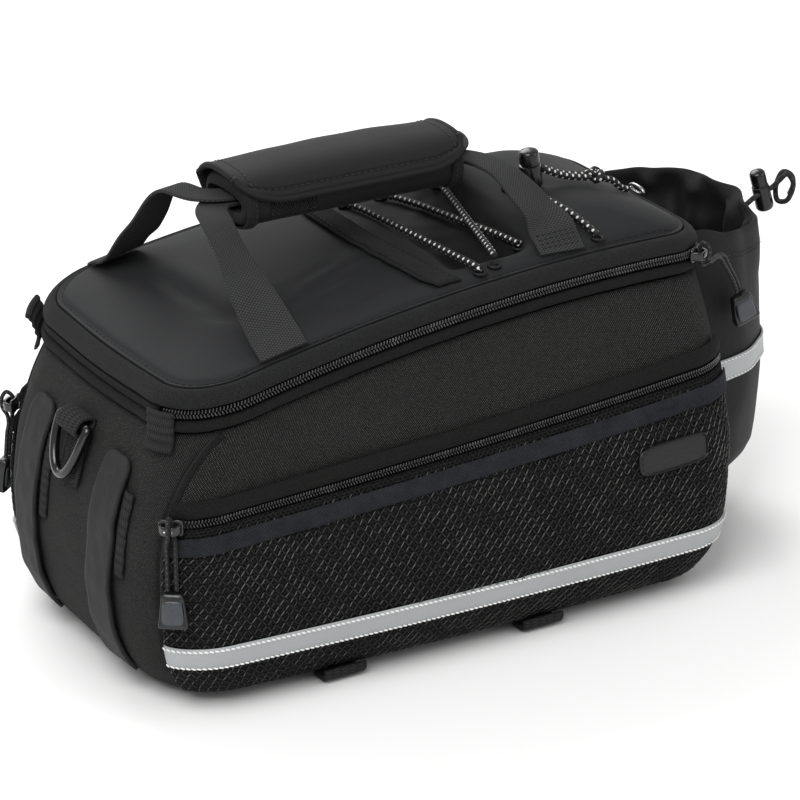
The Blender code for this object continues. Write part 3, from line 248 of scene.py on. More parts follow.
def pebbleForm(sides=6, rings=3):
    # unit ball of few faces, for teeth and stitches
    points = [(0.0, 0.0, 1.0)]
    for r in range(1, rings + 1):
        tilt = math.pi * r / (rings + 1)
        points += [(math.sin(tilt) * math.cos(turn), math.sin(tilt) * math.sin(turn), math.cos(tilt))
                   for turn in circleSteps(sides)]
    points.append((0.0, 0.0, -1.0))
    last = len(points) - 1
    faces = [(0, 1 + s, 1 + (s + 1) % sides) for s in range(sides)]
    for r in range(rings - 1):
        low, high = 1 + r * sides, 1 + (r + 1) * sides
        faces += [(low + s, high + s, high + (s + 1) % sides, low + (s + 1) % sides) for s in range(sides)]
    start = 1 + (rings - 1) * sides
    faces += [(start + s, last, start + (s + 1) % sides) for s in range(sides)]
    return np.array(points), faces


def scatterForm(name, form, spots, finish):
    # one mesh of many small copies; each spot is (centre, x, y, z) with the axes as long as the half sizes
    base, baseFaces = form
    points, faces = [], []
    for spot in spots:
        centre, x, y, z = (np.array(tuple(v)) for v in spot)
        start = len(points)
        placed = centre + base[:, :1] * x + base[:, 1:2] * y + base[:, 2:] * z
        points.extend(placed.tolist())
        faces.extend(tuple(start + k for k in face) for face in baseFaces)
    mesh = mappedMesh(name, points, faces, [[(points[k][0], points[k][2]) for k in face] for face in faces])
    mesh.shade_smooth()
    return placeMesh(mesh, finish)


def sewOn(name, spots, finish, slot, sides=5):  # stitches or threads as one piece
    standFor(scatterForm(name, pebbleForm(sides, 3), spots, finish), slot)


thread = {"pitch": 0.003, "length": 0.0021, "radius": 0.00022}


def stitchSpots(path, normals, pitch=None, length=None, radius=None, slant=0.0):
    # stitches lying along a path; normals is one vector or one for each point
    pitch = pitch or thread["pitch"]
    length = length or thread["length"]
    radius = radius or thread["radius"]
    path = [Vector(p) for p in path]
    lengths = runLengths(path)
    total = max(1, round(lengths[-1] / pitch))
    spots, place = [], 0
    for k in range(total):
        want = lengths[-1] * (k + 0.5) / total
        while place < len(lengths) - 2 and lengths[place + 1] < want:
            place += 1
        span = max(lengths[place + 1] - lengths[place], 1e-9)
        centre = path[place].lerp(path[place + 1], (want - lengths[place]) / span)
        heading = (path[place + 1] - path[place]).normalized()
        normal = (normals[place] if isinstance(normals, list) else normals).normalized()
        side = heading.cross(normal).normalized()
        heading = (heading + side * slant).normalized()
        spots.append((centre, side * radius, normal * radius * 0.8, heading * length / 2))
    return spots


def surfaceTree(piece):
    return BVHTree.FromObject(piece, bpy.context.evaluated_depsgraph_get())


def dropOn(tree, x, y, lift=0.0):
    hit = tree.ray_cast(Vector((x, y, 1.0)), Vector((0, 0, -1)))
    if hit[0] is None:
        return Vector((x, y, 0.16 + lift))
    return hit[0] + Vector((0, 0, lift))


def evenSteps(start, stop, count):
    return [float(value) for value in np.linspace(start, stop, count)]


def circleSteps(count, shift=0.0):  # angles, in even steps once round
    return [2 * math.pi * (k + shift) / count for k in range(count)]


def fuller(value, power):  # pushes a sine or cosine out towards a box
    return math.copysign(abs(value) ** power, value)


def ease(low, high, value):
    share = min(max((value - low) / (high - low), 0.0), 1.0)
    return share * share * (3 - 2 * share)


def bump(value, middle, width):
    return math.exp(-((value - middle) / width) ** 2)


def ripple(point, size, seed=0.0):  # smooth noise from -1 to 1, with hills about size metres apart
    return noise.noise(Vector(point) / size + Vector((seed, seed * 1.7, -seed)))


# materials: shared effects are node groups


def newGroup(name, inputs, outputs):
    # takes a map and the inputs; the output called Colour is a colour, the others are numbers
    group = bpy.data.node_groups.new(name, "ShaderNodeTree")
    for label, value in {"Map": (0, 0, 0), **inputs}.items():
        kind = {1: "NodeSocketFloat", 3: "NodeSocketVector", 4: "NodeSocketColor"}[np.size(value)]
        socket = group.interface.new_socket(name=label, in_out="INPUT", socket_type=kind)
        socket.default_value = value
    for label in outputs:
        kind = "NodeSocketColor" if label == "Colour" else "NodeSocketFloat"
        group.interface.new_socket(name=label, in_out="OUTPUT", socket_type=kind)
    return group, group.nodes.new("NodeGroupInput").outputs, group.nodes.new("NodeGroupOutput").inputs


def feed(tree, socket, value):
    if isinstance(value, bpy.types.NodeSocket):
        tree.links.new(value, socket)
    else:
        socket.default_value = value


def calc(tree, operation, a, b=0.0, c=0.0):
    node = tree.nodes.new("ShaderNodeMath")
    node.operation = operation
    for socket, value in zip(node.inputs, (a, b, c)):
        feed(tree, socket, value)
    return node.outputs[0]


def plus(tree, a, b):
    return calc(tree, "ADD", a, b)


def minus(tree, a, b):
    return calc(tree, "SUBTRACT", a, b)


def times(tree, a, b):
    return calc(tree, "MULTIPLY", a, b)


def over(tree, a, b):
    return calc(tree, "DIVIDE", a, b)


def stretch(tree, value, gain, start):
    return calc(tree, "MULTIPLY_ADD", value, gain, start)


def limit(tree, value):  # keeps it within 0 and 1
    return calc(tree, "MINIMUM", calc(tree, "MAXIMUM", value, 0.0), 1.0)


def above(tree, value, low, gain):  # how far value is over low, from 0 to 1
    return limit(tree, times(tree, minus(tree, value, low), gain))


def wave(tree, value):  # 0 to 1 once for every whole step of value
    turned = calc(tree, "SINE", times(tree, value, 2 * math.pi))
    return stretch(tree, turned, 0.5, 0.5)


def mixColour(tree, share, a, b):
    node = tree.nodes.new("ShaderNodeMix")
    node.data_type = "RGBA"
    feed(tree, node.inputs["Factor"], share)
    feed(tree, node.inputs["A"], a)
    feed(tree, node.inputs["B"], b)
    return node.outputs["Result"]


def cloudiness(tree, vector, scale, detail=3.0, roughness=0.55):
    node = tree.nodes.new("ShaderNodeTexNoise")
    feed(tree, node.inputs["Vector"], vector)
    feed(tree, node.inputs["Scale"], scale)
    node.inputs["Detail"].default_value = detail
    node.inputs["Roughness"].default_value = roughness
    return node.outputs["Fac"]


def splitMap(tree, vector):
    node = tree.nodes.new("ShaderNodeSeparateXYZ")
    feed(tree, node.inputs[0], vector)
    return node.outputs[0], node.outputs[1]


def makeTwillGroup():
    group, given, result = newGroup(
        "twillWeave",
        {"Rib Width": 0.0011, "Lean": 1.0, "Thread Break": 0.5},
        ["Relief", "Light Threads"])
    u, v = splitMap(group, given["Map"])
    slope = times(group, u, given["Lean"])
    rib = over(group, plus(group, slope, v), given["Rib Width"])
    wander = cloudiness(group, given["Map"], 900.0, 2.0)
    rib = stretch(group, wander, 0.22, rib)
    ridge = wave(group, rib)
    cut = over(group, minus(group, slope, times(group, v, 0.62)), given["Rib Width"])
    broken = times(group, wave(group, times(group, cut, 1.35)), given["Thread Break"])
    relief = times(group, ridge, minus(group, 1.0, broken))
    feed(group, result["Relief"], relief)
    fleck = cloudiness(group, given["Map"], 2600.0, 1.0)
    light = times(group, calc(group, "POWER", relief, 1.6), stretch(group, fleck, 3.4, -1.15))
    feed(group, result["Light Threads"], limit(group, light))
    return group


def makeWebbingGroup():
    group, given, result = newGroup(
        "webbingWeave",
        {"Rib Width": 0.0016, "Thread Width": 0.0011},
        ["Relief", "Light Threads"])
    u, v = splitMap(group, given["Map"])
    rib = over(group, u, given["Rib Width"])
    strand = over(group, v, given["Thread Width"])
    shifted = stretch(group, calc(group, "FLOOR", strand), 0.5, rib)
    ridge = calc(group, "POWER", wave(group, shifted), 0.8)
    line = calc(group, "POWER", wave(group, strand), 0.5)
    relief = times(group, stretch(group, ridge, 0.7, 0.3), stretch(group, line, 0.5, 0.5))
    fuzz = cloudiness(group, given["Map"], 3000.0, 1.0)
    feed(group, result["Relief"], relief)
    feed(group, result["Light Threads"], times(group, relief, stretch(group, fuzz, 1.0, 0.35)))
    return group


def makeKnitGroup():
    # ground of the knitted mesh: small eyelets between loops of thread, painted near-black as shade seen
    # through the holes
    group, given, result = newGroup(
        "meshKnit",
        {"Cell": 0.0023, "Row": 0.0015},
        ["Relief", "Light Threads", "Eyelet Shade"])
    u, v = splitMap(group, given["Map"])
    cloud = cloudiness(group, given["Map"], 300.0, 2.0)
    wander = times(group, minus(group, cloud, 0.5), 0.0016)
    row = over(group, plus(group, v, wander), given["Row"])
    shifted = stretch(group, calc(group, "FLOOR", row), 0.5, over(group, u, given["Cell"]))
    hole = times(group, wave(group, shifted), wave(group, row))
    fleck = cloudiness(group, given["Map"], 1500.0, 1.0)
    thread = minus(group, 1.0, hole)
    feed(group, result["Eyelet Shade"], calc(group, "POWER", hole, 1.5))
    feed(group, result["Relief"], thread)
    feed(group, result["Light Threads"], times(group, calc(group, "POWER", thread, 3.0),
                                               stretch(group, fleck, 1.6, -0.55)))
    return group


def makeBraidGroup():
    group, given, result = newGroup(
        "braidedCord",
        {"Lay": 0.0046, "Round": 0.0094, "Fleck Share": 0.4, "Strands": 6.0},
        ["Relief", "Flecks"])
    u, v = splitMap(group, given["Map"])
    along = over(group, u, given["Lay"])
    around = over(group, v, given["Round"])
    right = times(group, plus(group, along, around), given["Strands"])
    left = times(group, minus(group, along, around), given["Strands"])
    relief = calc(group, "MAXIMUM", calc(group, "POWER", wave(group, right), 0.6),
                  times(group, wave(group, left), 0.8))
    feed(group, result["Relief"], relief)
    turned = times(group, around, 2.0)
    mark = times(group, wave(group, plus(group, along, turned)), wave(group, minus(group, along, turned)))
    level = minus(group, 1.0, given["Fleck Share"])
    feed(group, result["Flecks"], above(group, mark, level, 6.0))
    return group


def makeToneGroup():
    # slow colour change, fine mottling and lint of a dyed cloth
    group, given, result = newGroup(
        "clothTone",
        {"Dye": (0.02, 0.02, 0.02, 1), "Thread Light": (0.1, 0.1, 0.1, 1), "Light Threads": 0.0,
         "Fading": 0.2, "Lint": 0.1, "Patch Scale": 22.0},
        ["Colour", "Unevenness"])
    slow = cloudiness(group, given["Map"], given["Patch Scale"], 4.0)
    fine = cloudiness(group, given["Map"], 700.0, 3.0, 0.7)
    base = mixColour(group, given["Light Threads"], given["Dye"], given["Thread Light"])
    shade = stretch(group, minus(group, slow, 0.5), given["Fading"], 1.0)
    lesser = times(group, given["Fading"], 0.8)
    shade = plus(group, shade, times(group, minus(group, fine, 0.5), lesser))
    tinted = group.nodes.new("ShaderNodeVectorMath")
    tinted.operation = "SCALE"
    feed(group, tinted.inputs[0], base)
    feed(group, tinted.inputs["Scale"], shade)
    specks = above(group, cloudiness(group, given["Map"], 1900.0, 1.0), 0.7, 8.0)
    specks = times(group, specks, given["Lint"])
    feed(group, result["Colour"], mixColour(group, specks, tinted.outputs[0], (0.35, 0.35, 0.34, 1)))
    feed(group, result["Unevenness"], fine)
    return group


def makeGrainGroup():
    # fine pebbled skin of moulded plastic and rubber, with rubbed places
    group, given, result = newGroup(
        "mouldGrain",
        {"Grain Size": 2400.0, "Base": (0.02, 0.02, 0.02, 1),
         "Rubbed": (0.08, 0.08, 0.08, 1), "Wear": 0.2, "Gloss": 0.35},
        ["Colour", "Relief", "Roughness"])
    grain = cloudiness(group, given["Map"], given["Grain Size"], 2.0)
    patches = cloudiness(group, given["Map"], 130.0, 5.0, 0.65)
    worn = times(group, above(group, patches, 0.52, 4.0), given["Wear"])
    feed(group, result["Colour"], mixColour(group, worn, given["Base"], given["Rubbed"]))
    feed(group, result["Relief"], grain)
    feed(group, result["Roughness"], plus(group, given["Gloss"], times(group, minus(group, patches, 0.5), 0.3)))
    return group


groups = {"twill": makeTwillGroup(), "webbing": makeWebbingGroup(), "knit": makeKnitGroup(),
          "braid": makeBraidGroup(), "tone": makeToneGroup(), "grain": makeGrainGroup()}


def startFinish(name):
    finish = bpy.data.materials.new(name)
    finish.use_nodes = True
    tree = finish.node_tree
    shader = tree.nodes["Principled BSDF"]
    uv = tree.nodes.new("ShaderNodeUVMap")
    uv.uv_map = "cloth"
    return finish, tree, shader, uv.outputs[0]


def useGroup(tree, name, **values):
    node = tree.nodes.new("ShaderNodeGroup")
    node.node_tree = groups[name]
    for label, value in values.items():
        feed(tree, node.inputs[label.replace("_", " ")], value)
    return node.outputs


def dyed(tree, place, dye, light, threads, fading, lint, patch=22.0):
    return useGroup(tree, "tone", Map=place, Dye=(*dye, 1), Thread_Light=(*light, 1), Light_Threads=threads,
                    Fading=fading, Lint=lint, Patch_Scale=patch)


def addBump(tree, shader, relief, depth, strength=1.0):
    node = tree.nodes.new("ShaderNodeBump")
    node.inputs["Distance"].default_value = depth
    node.inputs["Strength"].default_value = strength
    feed(tree, node.inputs["Height"], relief)
    tree.links.new(node.outputs[0], shader.inputs["Normal"])


def objectMap(tree):
    return tree.nodes.new("ShaderNodeTexCoord").outputs["Object"]


def setCloth(tree, shader, colour, unevenness, roughness, spread, gloss, sheen, sheenRoughness, relief, depth):
    feed(tree, shader.inputs["Base Color"], colour)
    feed(tree, shader.inputs["Roughness"], stretch(tree, unevenness, spread, roughness))
    shader.inputs["Specular IOR Level"].default_value = gloss
    shader.inputs["Sheen Weight"].default_value = sheen
    shader.inputs["Sheen Roughness"].default_value = sheenRoughness
    shader.inputs["Sheen Tint"].default_value = (1, 1, 1, 1)
    addBump(tree, shader, relief, depth)


def weaveFinish(name, weave, dye, light, depth, roughness=0.85, fading=0.25, lint=0.08, sheen=0.03, patch=22.0,
                **values):
    finish, tree, shader, uv = startFinish(name)
    woven = useGroup(tree, weave, Map=uv, **values)
    tone = dyed(tree, objectMap(tree), dye, light, woven["Light Threads"], fading, lint, patch)
    setCloth(tree, shader, tone["Colour"], tone["Unevenness"], roughness - 0.06, 0.12, 0.18, sheen, 0.5,
             woven["Relief"], depth)
    return finish


def smoothClothFinish(name, dye, light, roughness=0.62, sheen=0.05, grainSize=1500.0, depth=0.00006, lint=0.06,
                      fading=0.18):
    finish, tree, shader, uv = startFinish(name)
    place = objectMap(tree)
    grain = cloudiness(tree, place, grainSize, 2.0)
    weave = useGroup(tree, "twill", Map=uv, Rib_Width=0.00042, Lean=1.0, Thread_Break=0.6)
    tone = dyed(tree, place, dye, light, times(tree, grain, 0.5), fading, lint, 16.0)
    relief = stretch(tree, weave["Relief"], 0.35, grain)
    setCloth(tree, shader, tone["Colour"], tone["Unevenness"], roughness - 0.07, 0.14, 0.25, sheen, 0.45,
             relief, depth)
    return finish


def mouldFinish(name, base, rubbed, gloss, wear=0.25, grainSize=2600.0, depth=0.00003, coat=0.0, metallic=0.0):
    finish, tree, shader, uv = startFinish(name)
    grain = useGroup(tree, "grain", Map=objectMap(tree), Grain_Size=grainSize, Base=(*base, 1),
                     Rubbed=(*rubbed, 1), Wear=wear, Gloss=gloss)
    feed(tree, shader.inputs["Base Color"], grain["Colour"])
    feed(tree, shader.inputs["Roughness"], grain["Roughness"])
    shader.inputs["Metallic"].default_value = metallic
    shader.inputs["Coat Weight"].default_value = coat
    shader.inputs["Coat Roughness"].default_value = 0.25
    addBump(tree, shader, grain["Relief"], depth)
    return finish


def cordFinish(name, dye, fleck, roundWay, lay, fleckShare, strands=6.0, depth=0.00016):
    finish, tree, shader, uv = startFinish(name)
    braid = useGroup(tree, "braid", Map=uv, Lay=lay, Round=roundWay, Fleck_Share=fleckShare, Strands=strands)
    tone = dyed(tree, objectMap(tree), dye, fleck, braid["Flecks"], 0.3, 0.05)
    setCloth(tree, shader, tone["Colour"], tone["Unevenness"], 0.5, 0.2, 0.5, 0.05, 0.5, braid["Relief"], depth)
    return finish


def meshMask(tree, name):  # a share from 0 to 1 kept on the mesh's points
    mask = tree.nodes.new("ShaderNodeAttribute")
    mask.attribute_name = name
    return mask.outputs["Fac"]


def makeWallFinish():
    # side panels in open twill, front panel in a smoother one; the mask comes from the seam
    finish, tree, shader, uv = startFinish("bodyTwill")
    side = useGroup(tree, "twill", Map=uv, Rib_Width=0.00125, Lean=0.9, Thread_Break=0.7)
    front = useGroup(tree, "twill", Map=uv, Rib_Width=0.0011, Lean=-1.1, Thread_Break=0.6)
    share = meshMask(tree, "frontShare")
    sideTone = dyed(tree, objectMap(tree), (0.0042, 0.0042, 0.0042), (0.2, 0.199, 0.193), side["Light Threads"],
                    0.3, 0.06)
    frontTone = dyed(tree, objectMap(tree), (0.0055, 0.0055, 0.0055), (0.165, 0.165, 0.161),
                     front["Light Threads"], 0.3, 0.06)
    both = plus(tree, times(tree, side["Relief"], minus(tree, 1.0, share)),
                times(tree, times(tree, front["Relief"], 0.7), share))
    colour = mixColour(tree, share, sideTone["Colour"], frontTone["Colour"])
    setCloth(tree, shader, colour, sideTone["Unevenness"], 0.76, 0.12, 0.18, 0.03, 0.5, both, 0.0003)
    return finish


def makeLidFinish():
    # smooth moulded cloth, and a plain woven panel where the lid is sunken
    finish, tree, shader, uv = startFinish("lidCloth")
    place = objectMap(tree)
    grain = cloudiness(tree, place, 1700.0, 2.0)
    share = meshMask(tree, "panelShare")
    weave = useGroup(tree, "twill", Map=uv, Rib_Width=0.0009, Lean=1.0, Thread_Break=0.5)
    smooth = dyed(tree, place, (0.018, 0.0184, 0.0196), (0.036, 0.037, 0.039), times(tree, grain, 0.6), 0.16,
                  0.05, 14.0)
    woven = dyed(tree, place, (0.0055, 0.0055, 0.006), (0.018, 0.018, 0.018), weave["Light Threads"], 0.3, 0.05)
    colour = mixColour(tree, share, smooth["Colour"], woven["Colour"])
    relief = plus(tree, grain, times(tree, weave["Relief"], share))
    setCloth(tree, shader, colour, smooth["Unevenness"], 0.62, 0.12, 0.2, 0.05, 0.45, relief, 0.00006)
    return finish


def makeKnitFinish():
    finish, tree, shader, uv = startFinish("meshCloth")
    knit = useGroup(tree, "knit", Map=uv, Cell=0.0023, Row=0.0015)
    tone = dyed(tree, objectMap(tree), (0.0055, 0.0055, 0.0058), (0.045, 0.045, 0.044), knit["Light Threads"],
                0.4, 0.05)
    # the eyelets are painted near-black: shade standing in for the dark view through the holes
    colour = mixColour(tree, knit["Eyelet Shade"], tone["Colour"], (0.001, 0.001, 0.001, 1))
    feed(tree, shader.inputs["Base Color"], colour)
    shader.inputs["Roughness"].default_value = 0.75
    shader.inputs["Specular IOR Level"].default_value = 0.18
    addBump(tree, shader, knit["Relief"], 0.0004)
    return finish


def makeReflectiveFinish():
    # glass-bead tape: even silver with a faint crossed grain
    finish, tree, shader, uv = startFinish("reflectiveTape")
    u, v = splitMap(tree, uv)
    cross = times(tree, wave(tree, over(tree, u, 0.0007)), wave(tree, over(tree, v, 0.0007)))
    tone = dyed(tree, objectMap(tree), (0.36, 0.37, 0.378), (0.5, 0.51, 0.515), cross, 0.07, 0.05, 30.0)
    feed(tree, shader.inputs["Base Color"], tone["Colour"])
    feed(tree, shader.inputs["Roughness"], stretch(tree, tone["Unevenness"], 0.1, 0.4))
    shader.inputs["Metallic"].default_value = 0.15
    addBump(tree, shader, cross, 0.00004)
    return finish


finishes = {
    "wall": makeWallFinish(),
    "lid": makeLidFinish(),
    "knit": makeKnitFinish(),
    "tape": makeReflectiveFinish(),
    "twill": weaveFinish("pipingTwill", "twill", (0.006, 0.006, 0.006), (0.06, 0.06, 0.058), 0.00016,
                         Rib_Width=0.0009, Lean=1.0, Thread_Break=0.5),
    "border": weaveFinish("borderCloth", "twill", (0.011, 0.0112, 0.0118), (0.07, 0.071, 0.074), 0.00014,
                          sheen=0.04, Rib_Width=0.0009, Lean=1.1, Thread_Break=0.5),
    "handle": smoothClothFinish("handleCloth", (0.0105, 0.0107, 0.0112), (0.026, 0.0263, 0.028), 0.66, 0.05),
    "pouch": smoothClothFinish("pouchCloth", (0.01, 0.01, 0.0104), (0.034, 0.034, 0.035), 0.62, 0.06, 1100.0,
                               0.0001),
    "strap": smoothClothFinish("strapCloth", (0.019, 0.0192, 0.0194), (0.052, 0.0525, 0.053), 0.66, 0.04, 900.0,
                               0.00014, 0.1, 0.7),
    "webbing": weaveFinish("ribbedWebbing", "webbing", (0.007, 0.0072, 0.0072), (0.082, 0.084, 0.083), 0.0003,
                           fading=0.25, Rib_Width=0.00135, Thread_Width=0.0011),
    "band": weaveFinish("elasticBand", "webbing", (0.006, 0.0062, 0.0072), (0.042, 0.044, 0.052), 0.00016,
                        fading=1.1, lint=0.14, patch=120.0, Rib_Width=0.0012, Thread_Width=0.0008),
    "patch": weaveFinish("patchWebbing", "webbing", (0.0055, 0.0055, 0.0057), (0.052, 0.052, 0.053), 0.00035,
                         Rib_Width=0.0012, Thread_Width=0.004),
    "zipTape": weaveFinish("zipTape", "twill", (0.0055, 0.0055, 0.0057), (0.026, 0.026, 0.026), 0.0001,
                           Rib_Width=0.0007, Lean=2.2, Thread_Break=0.5),
    "hooks": weaveFinish("hookTape", "twill", (0.0065, 0.0065, 0.0068), (0.065, 0.065, 0.06), 0.0005,
                         lint=0.45, fading=0.6, sheen=0.1, Rib_Width=0.0011, Lean=0.4, Thread_Break=0.9),
    "teeth": mouldFinish("zipTeeth", (0.026, 0.026, 0.026), (0.15, 0.15, 0.15), 0.26, 0.6, coat=0.6),
    "slider": mouldFinish("sliderEnamel", (0.01, 0.01, 0.0105), (0.1, 0.1, 0.1), 0.22, 0.3, coat=0.5),
    "pin": mouldFinish("bridgePin", (0.3, 0.3, 0.31), (0.55, 0.55, 0.56), 0.2, 0.4, metallic=1.0),
    "ring": mouldFinish("ringPlastic", (0.006, 0.006, 0.006), (0.03, 0.03, 0.03), 0.16, 0.2, coat=0.6),
    "grip": mouldFinish("gripPlastic", (0.016, 0.0165, 0.018), (0.05, 0.05, 0.053), 0.3, 0.3, depth=0.00004,
                        coat=0.2),
    "gripPanel": mouldFinish("gripPanel", (0.04, 0.045, 0.054), (0.1, 0.105, 0.115), 0.3, 0.3, depth=0.00004,
                             coat=0.3),
    "lock": mouldFinish("lockPlastic", (0.006, 0.006, 0.0063), (0.045, 0.045, 0.045), 0.24, 0.25, coat=0.3),
    "rubber": mouldFinish("patchRubber", (0.012, 0.012, 0.0125), (0.04, 0.04, 0.04), 0.42, 0.3, 1800.0,
                          0.00006),
    "metal": mouldFinish("ringMetal", (0.42, 0.42, 0.43), (0.62, 0.62, 0.62), 0.26, 0.4, metallic=1.0),
    "bungee": cordFinish("elasticCord", (0.007, 0.007, 0.0072), (0.66, 0.66, 0.64), 0.0094, 0.0031, 0.52, 5.0),
    "pullCord": cordFinish("pullCord", (0.0065, 0.0065, 0.0068), (0.062, 0.062, 0.06), 0.0057, 0.0024, 0.45,
                           4.0),
    "blackCord": cordFinish("drawCord", (0.007, 0.007, 0.0072), (0.035, 0.035, 0.035), 0.0075, 0.0042, 0.5,
                            4.0),
    # dark thread for stitches and eyelets, also used as painted shade in the body's seams
    "darkThreadAndShade": mouldFinish("darkThreadAndShade", (0.0045, 0.0045, 0.0047), (0.02, 0.02, 0.02), 0.6, 0.6),
    "netPale": mouldFinish("netPale", (0.095, 0.094, 0.09), (0.2, 0.2, 0.19), 0.6, 0.6),
    "netMiddle": mouldFinish("netMiddle", (0.032, 0.032, 0.031), (0.075, 0.075, 0.072), 0.6, 0.6),
    "netDark": mouldFinish("netDark", (0.012, 0.012, 0.012), (0.03, 0.03, 0.03), 0.6, 0.6),
    "greyThread": mouldFinish("greyThread", (0.035, 0.036, 0.037), (0.09, 0.09, 0.09), 0.6, 0.5),
    "whiteThread": mouldFinish("whiteThread", (0.8, 0.8, 0.79), (0.9, 0.9, 0.89), 0.55, 0.4),
}
print("finishes made")

# body: outline places run from 0 to 8, near side, rear near corner, rear, and so on to the front

bag = {
    "length": 0.286, "width": 0.167, "frontTaper": 0.006, "cornerFront": 0.03, "cornerRear": 0.024,
    "sideCrown": 0.002, "frontCrown": 0.0015,
    "baseInFront": 0.025, "baseInRear": 0.014, "baseInSide": 0.016,
    "zipFront": 0.1246, "zipRear": 0.1492, "zipArch": 0.0125,
    "zipInFront": 0.0173, "zipInRear": 0.0028, "zipInSideFront": 0.0021, "zipInSideRear": 0.0199,
    "coil": 0.0046, "tape": 0.001, "piping": 0.0024,
    "border": 0.0066, "borderThick": 0.005, "borderLean": 0.0035,
}
# level, base, rim
wallShape = [(0.0, 1.0, 0.0), (0.02, 0.72, 0.0), (0.07, 0.45, 0.0), (0.16, 0.2, 0.0), (0.3, 0.04, 0.0),
             (0.47, 0.0, 0.0), (0.65, 0.0, 0.12), (0.83, 0.0, 0.45), (1.0, 0.0, 1.0)]


def steadyCurve(rows):
    # smooth curve through a table's rows that never overshoots them
    xs = [row[0] for row in rows]
    columns = list(zip(*[row[1:] for row in rows]))
    slopes = []
    for values in columns:
        steps = [(values[k + 1] - values[k]) / (xs[k + 1] - xs[k]) for k in range(len(xs) - 1)]
        inner = [0.0 if a * b <= 0 else 2 * a * b / (a + b) for a, b in zip(steps, steps[1:])]
        slopes.append([steps[0]] + inner + [steps[-1]])

    def at(x):
        x = min(max(x, xs[0]), xs[-1])
        k = min(max(np.searchsorted(xs, x) - 1, 0), len(xs) - 2)
        width = xs[k + 1] - xs[k]
        t = (x - xs[k]) / width
        result = []
        for values, slope in zip(columns, slopes):
            result.append((1 + 2 * t) * (1 - t) ** 2 * values[k] + t * (1 - t) ** 2 * width * slope[k]
                          + t * t * (3 - 2 * t) * values[k + 1] + t * t * (t - 1) * width * slope[k + 1])
        return result
    return at


wallAt = steadyCurve(wallShape)
sideRun = bag["length"] - bag["cornerFront"] - bag["cornerRear"]


def roundPlaces(side=60, corner=9, end=22):
    counts = [side, corner, end, corner, side, corner, end, corner]
    return [part + k / count for part, count in enumerate(counts) for k in range(count)]


def outlineAt(place, level, out=0.0):
    base, rim = wallAt(level)
    front = bag["length"] / 2 - bag["baseInFront"] * base - bag["zipInFront"] * rim + out
    rear = bag["length"] / 2 - bag["baseInRear"] * base - bag["zipInRear"] * rim + out
    half = bag["width"] / 2 - bag["baseInSide"] * base + out
    halfFront = half - bag["frontTaper"] - bag["zipInSideFront"] * rim
    halfRear = half - bag["zipInSideRear"] * rim
    cornerFront, cornerRear = bag["cornerFront"] + out, bag["cornerRear"] + out
    place = place % 8
    part = int(place)
    share = place - part
    bow = math.sin(math.pi * share)
    xFront, xRear = cornerFront - front, rear - cornerRear
    yFront, yRear = halfFront - cornerFront, halfRear - cornerRear
    if part in (0, 4):
        along = share if part == 0 else 1 - share
        reach = halfFront + (halfRear - halfFront) * along + bag["sideCrown"] * bow
        return xFront + (xRear - xFront) * along, reach * (-1 if part == 0 else 1)
    if part == 2:
        return rear, -yRear + 2 * yRear * share
    if part == 6:
        return -front - bag["frontCrown"] * bow, yFront - 2 * yFront * share
    turn = math.radians({1: -90, 3: 0, 5: 90, 7: 180}[part] + 90 * share)
    if part in (1, 3):
        middleY = -yRear if part == 1 else yRear
        return xRear + cornerRear * math.cos(turn), middleY + cornerRear * math.sin(turn)
    middleY = yFront if part == 5 else -yFront
    return xFront + cornerFront * math.cos(turn), middleY + cornerFront * math.sin(turn)


def zipHeight(x):
    along = (x + bag["length"] / 2) / bag["length"]
    climb = bag["zipRear"] - bag["zipFront"]
    return bag["zipFront"] + climb * along + 4 * bag["zipArch"] * along * (1 - along)


rimDrop = bag["coil"] / 2 + 2 * bag["piping"] + 4 * room


def rimHeight(x):
    return zipHeight(x) - rimDrop


def wallPoint(place, level, out=0.0):
    x, y = outlineAt(place, level, out)
    return Vector((x, y, rimHeight(x) * level))


def wallAtHeight(place, height, out=0.0):
    level = height / rimHeight(outlineAt(place, 0.5)[0])
    for _ in range(3):
        level = height / rimHeight(outlineAt(place, level)[0])
    x, y = outlineAt(place, level, out)
    return Vector((x, y, height))


def rimPoint(place, out=0.0, rise=0.0):
    x, y = outlineAt(place, 1.0, out)
    return Vector((x, y, zipHeight(x) + rise))


# seam between the front panel and each side panel: level on the wall, place on the near corner
seamShape = [(0.0, 7.6), (0.14, 7.546), (0.29, 7.5), (0.45, 7.49), (0.6, 7.478), (0.7, 7.475), (0.8, 7.502),
             (0.89, 7.564), (0.96, 7.66), (1.0, 7.77)]
seamAt = steadyCurve(seamShape)
wallCloth = {"thick": 0.0028, "padding": 0.0007, "hills": 0.045, "dents": 0.0005, "dentSize": 0.018,
             "seamDip": 0.0016, "seamWidth": 0.0017, "seamRoll": 0.0013, "rollAway": 0.0055,
             "rollWidth": 0.0042,
             "shadeTubeRadius": 0.0009, "shadeTubeSink": 0.0007, "edgeRadius": 0.0014, "edgeAside": 0.0017,
             "edgeLift": 0.0002}
cornerLength = bag["cornerFront"] * math.pi / 2


def seamAway(place, level):  # metres from the nearer front seam, positive on the front panel
    near = seamAt(level)[0]
    turned = place % 8
    if turned < 1:
        return -(turned * sideRun + (8 - near) * cornerLength)
    if turned >= 6:
        return (near - turned) * cornerLength
    return (turned - (13 - near)) * cornerLength


def keepMask(piece, name, shares):
    piece.data.attributes.new(name, "FLOAT", "POINT").data.foreach_set("value", shares)


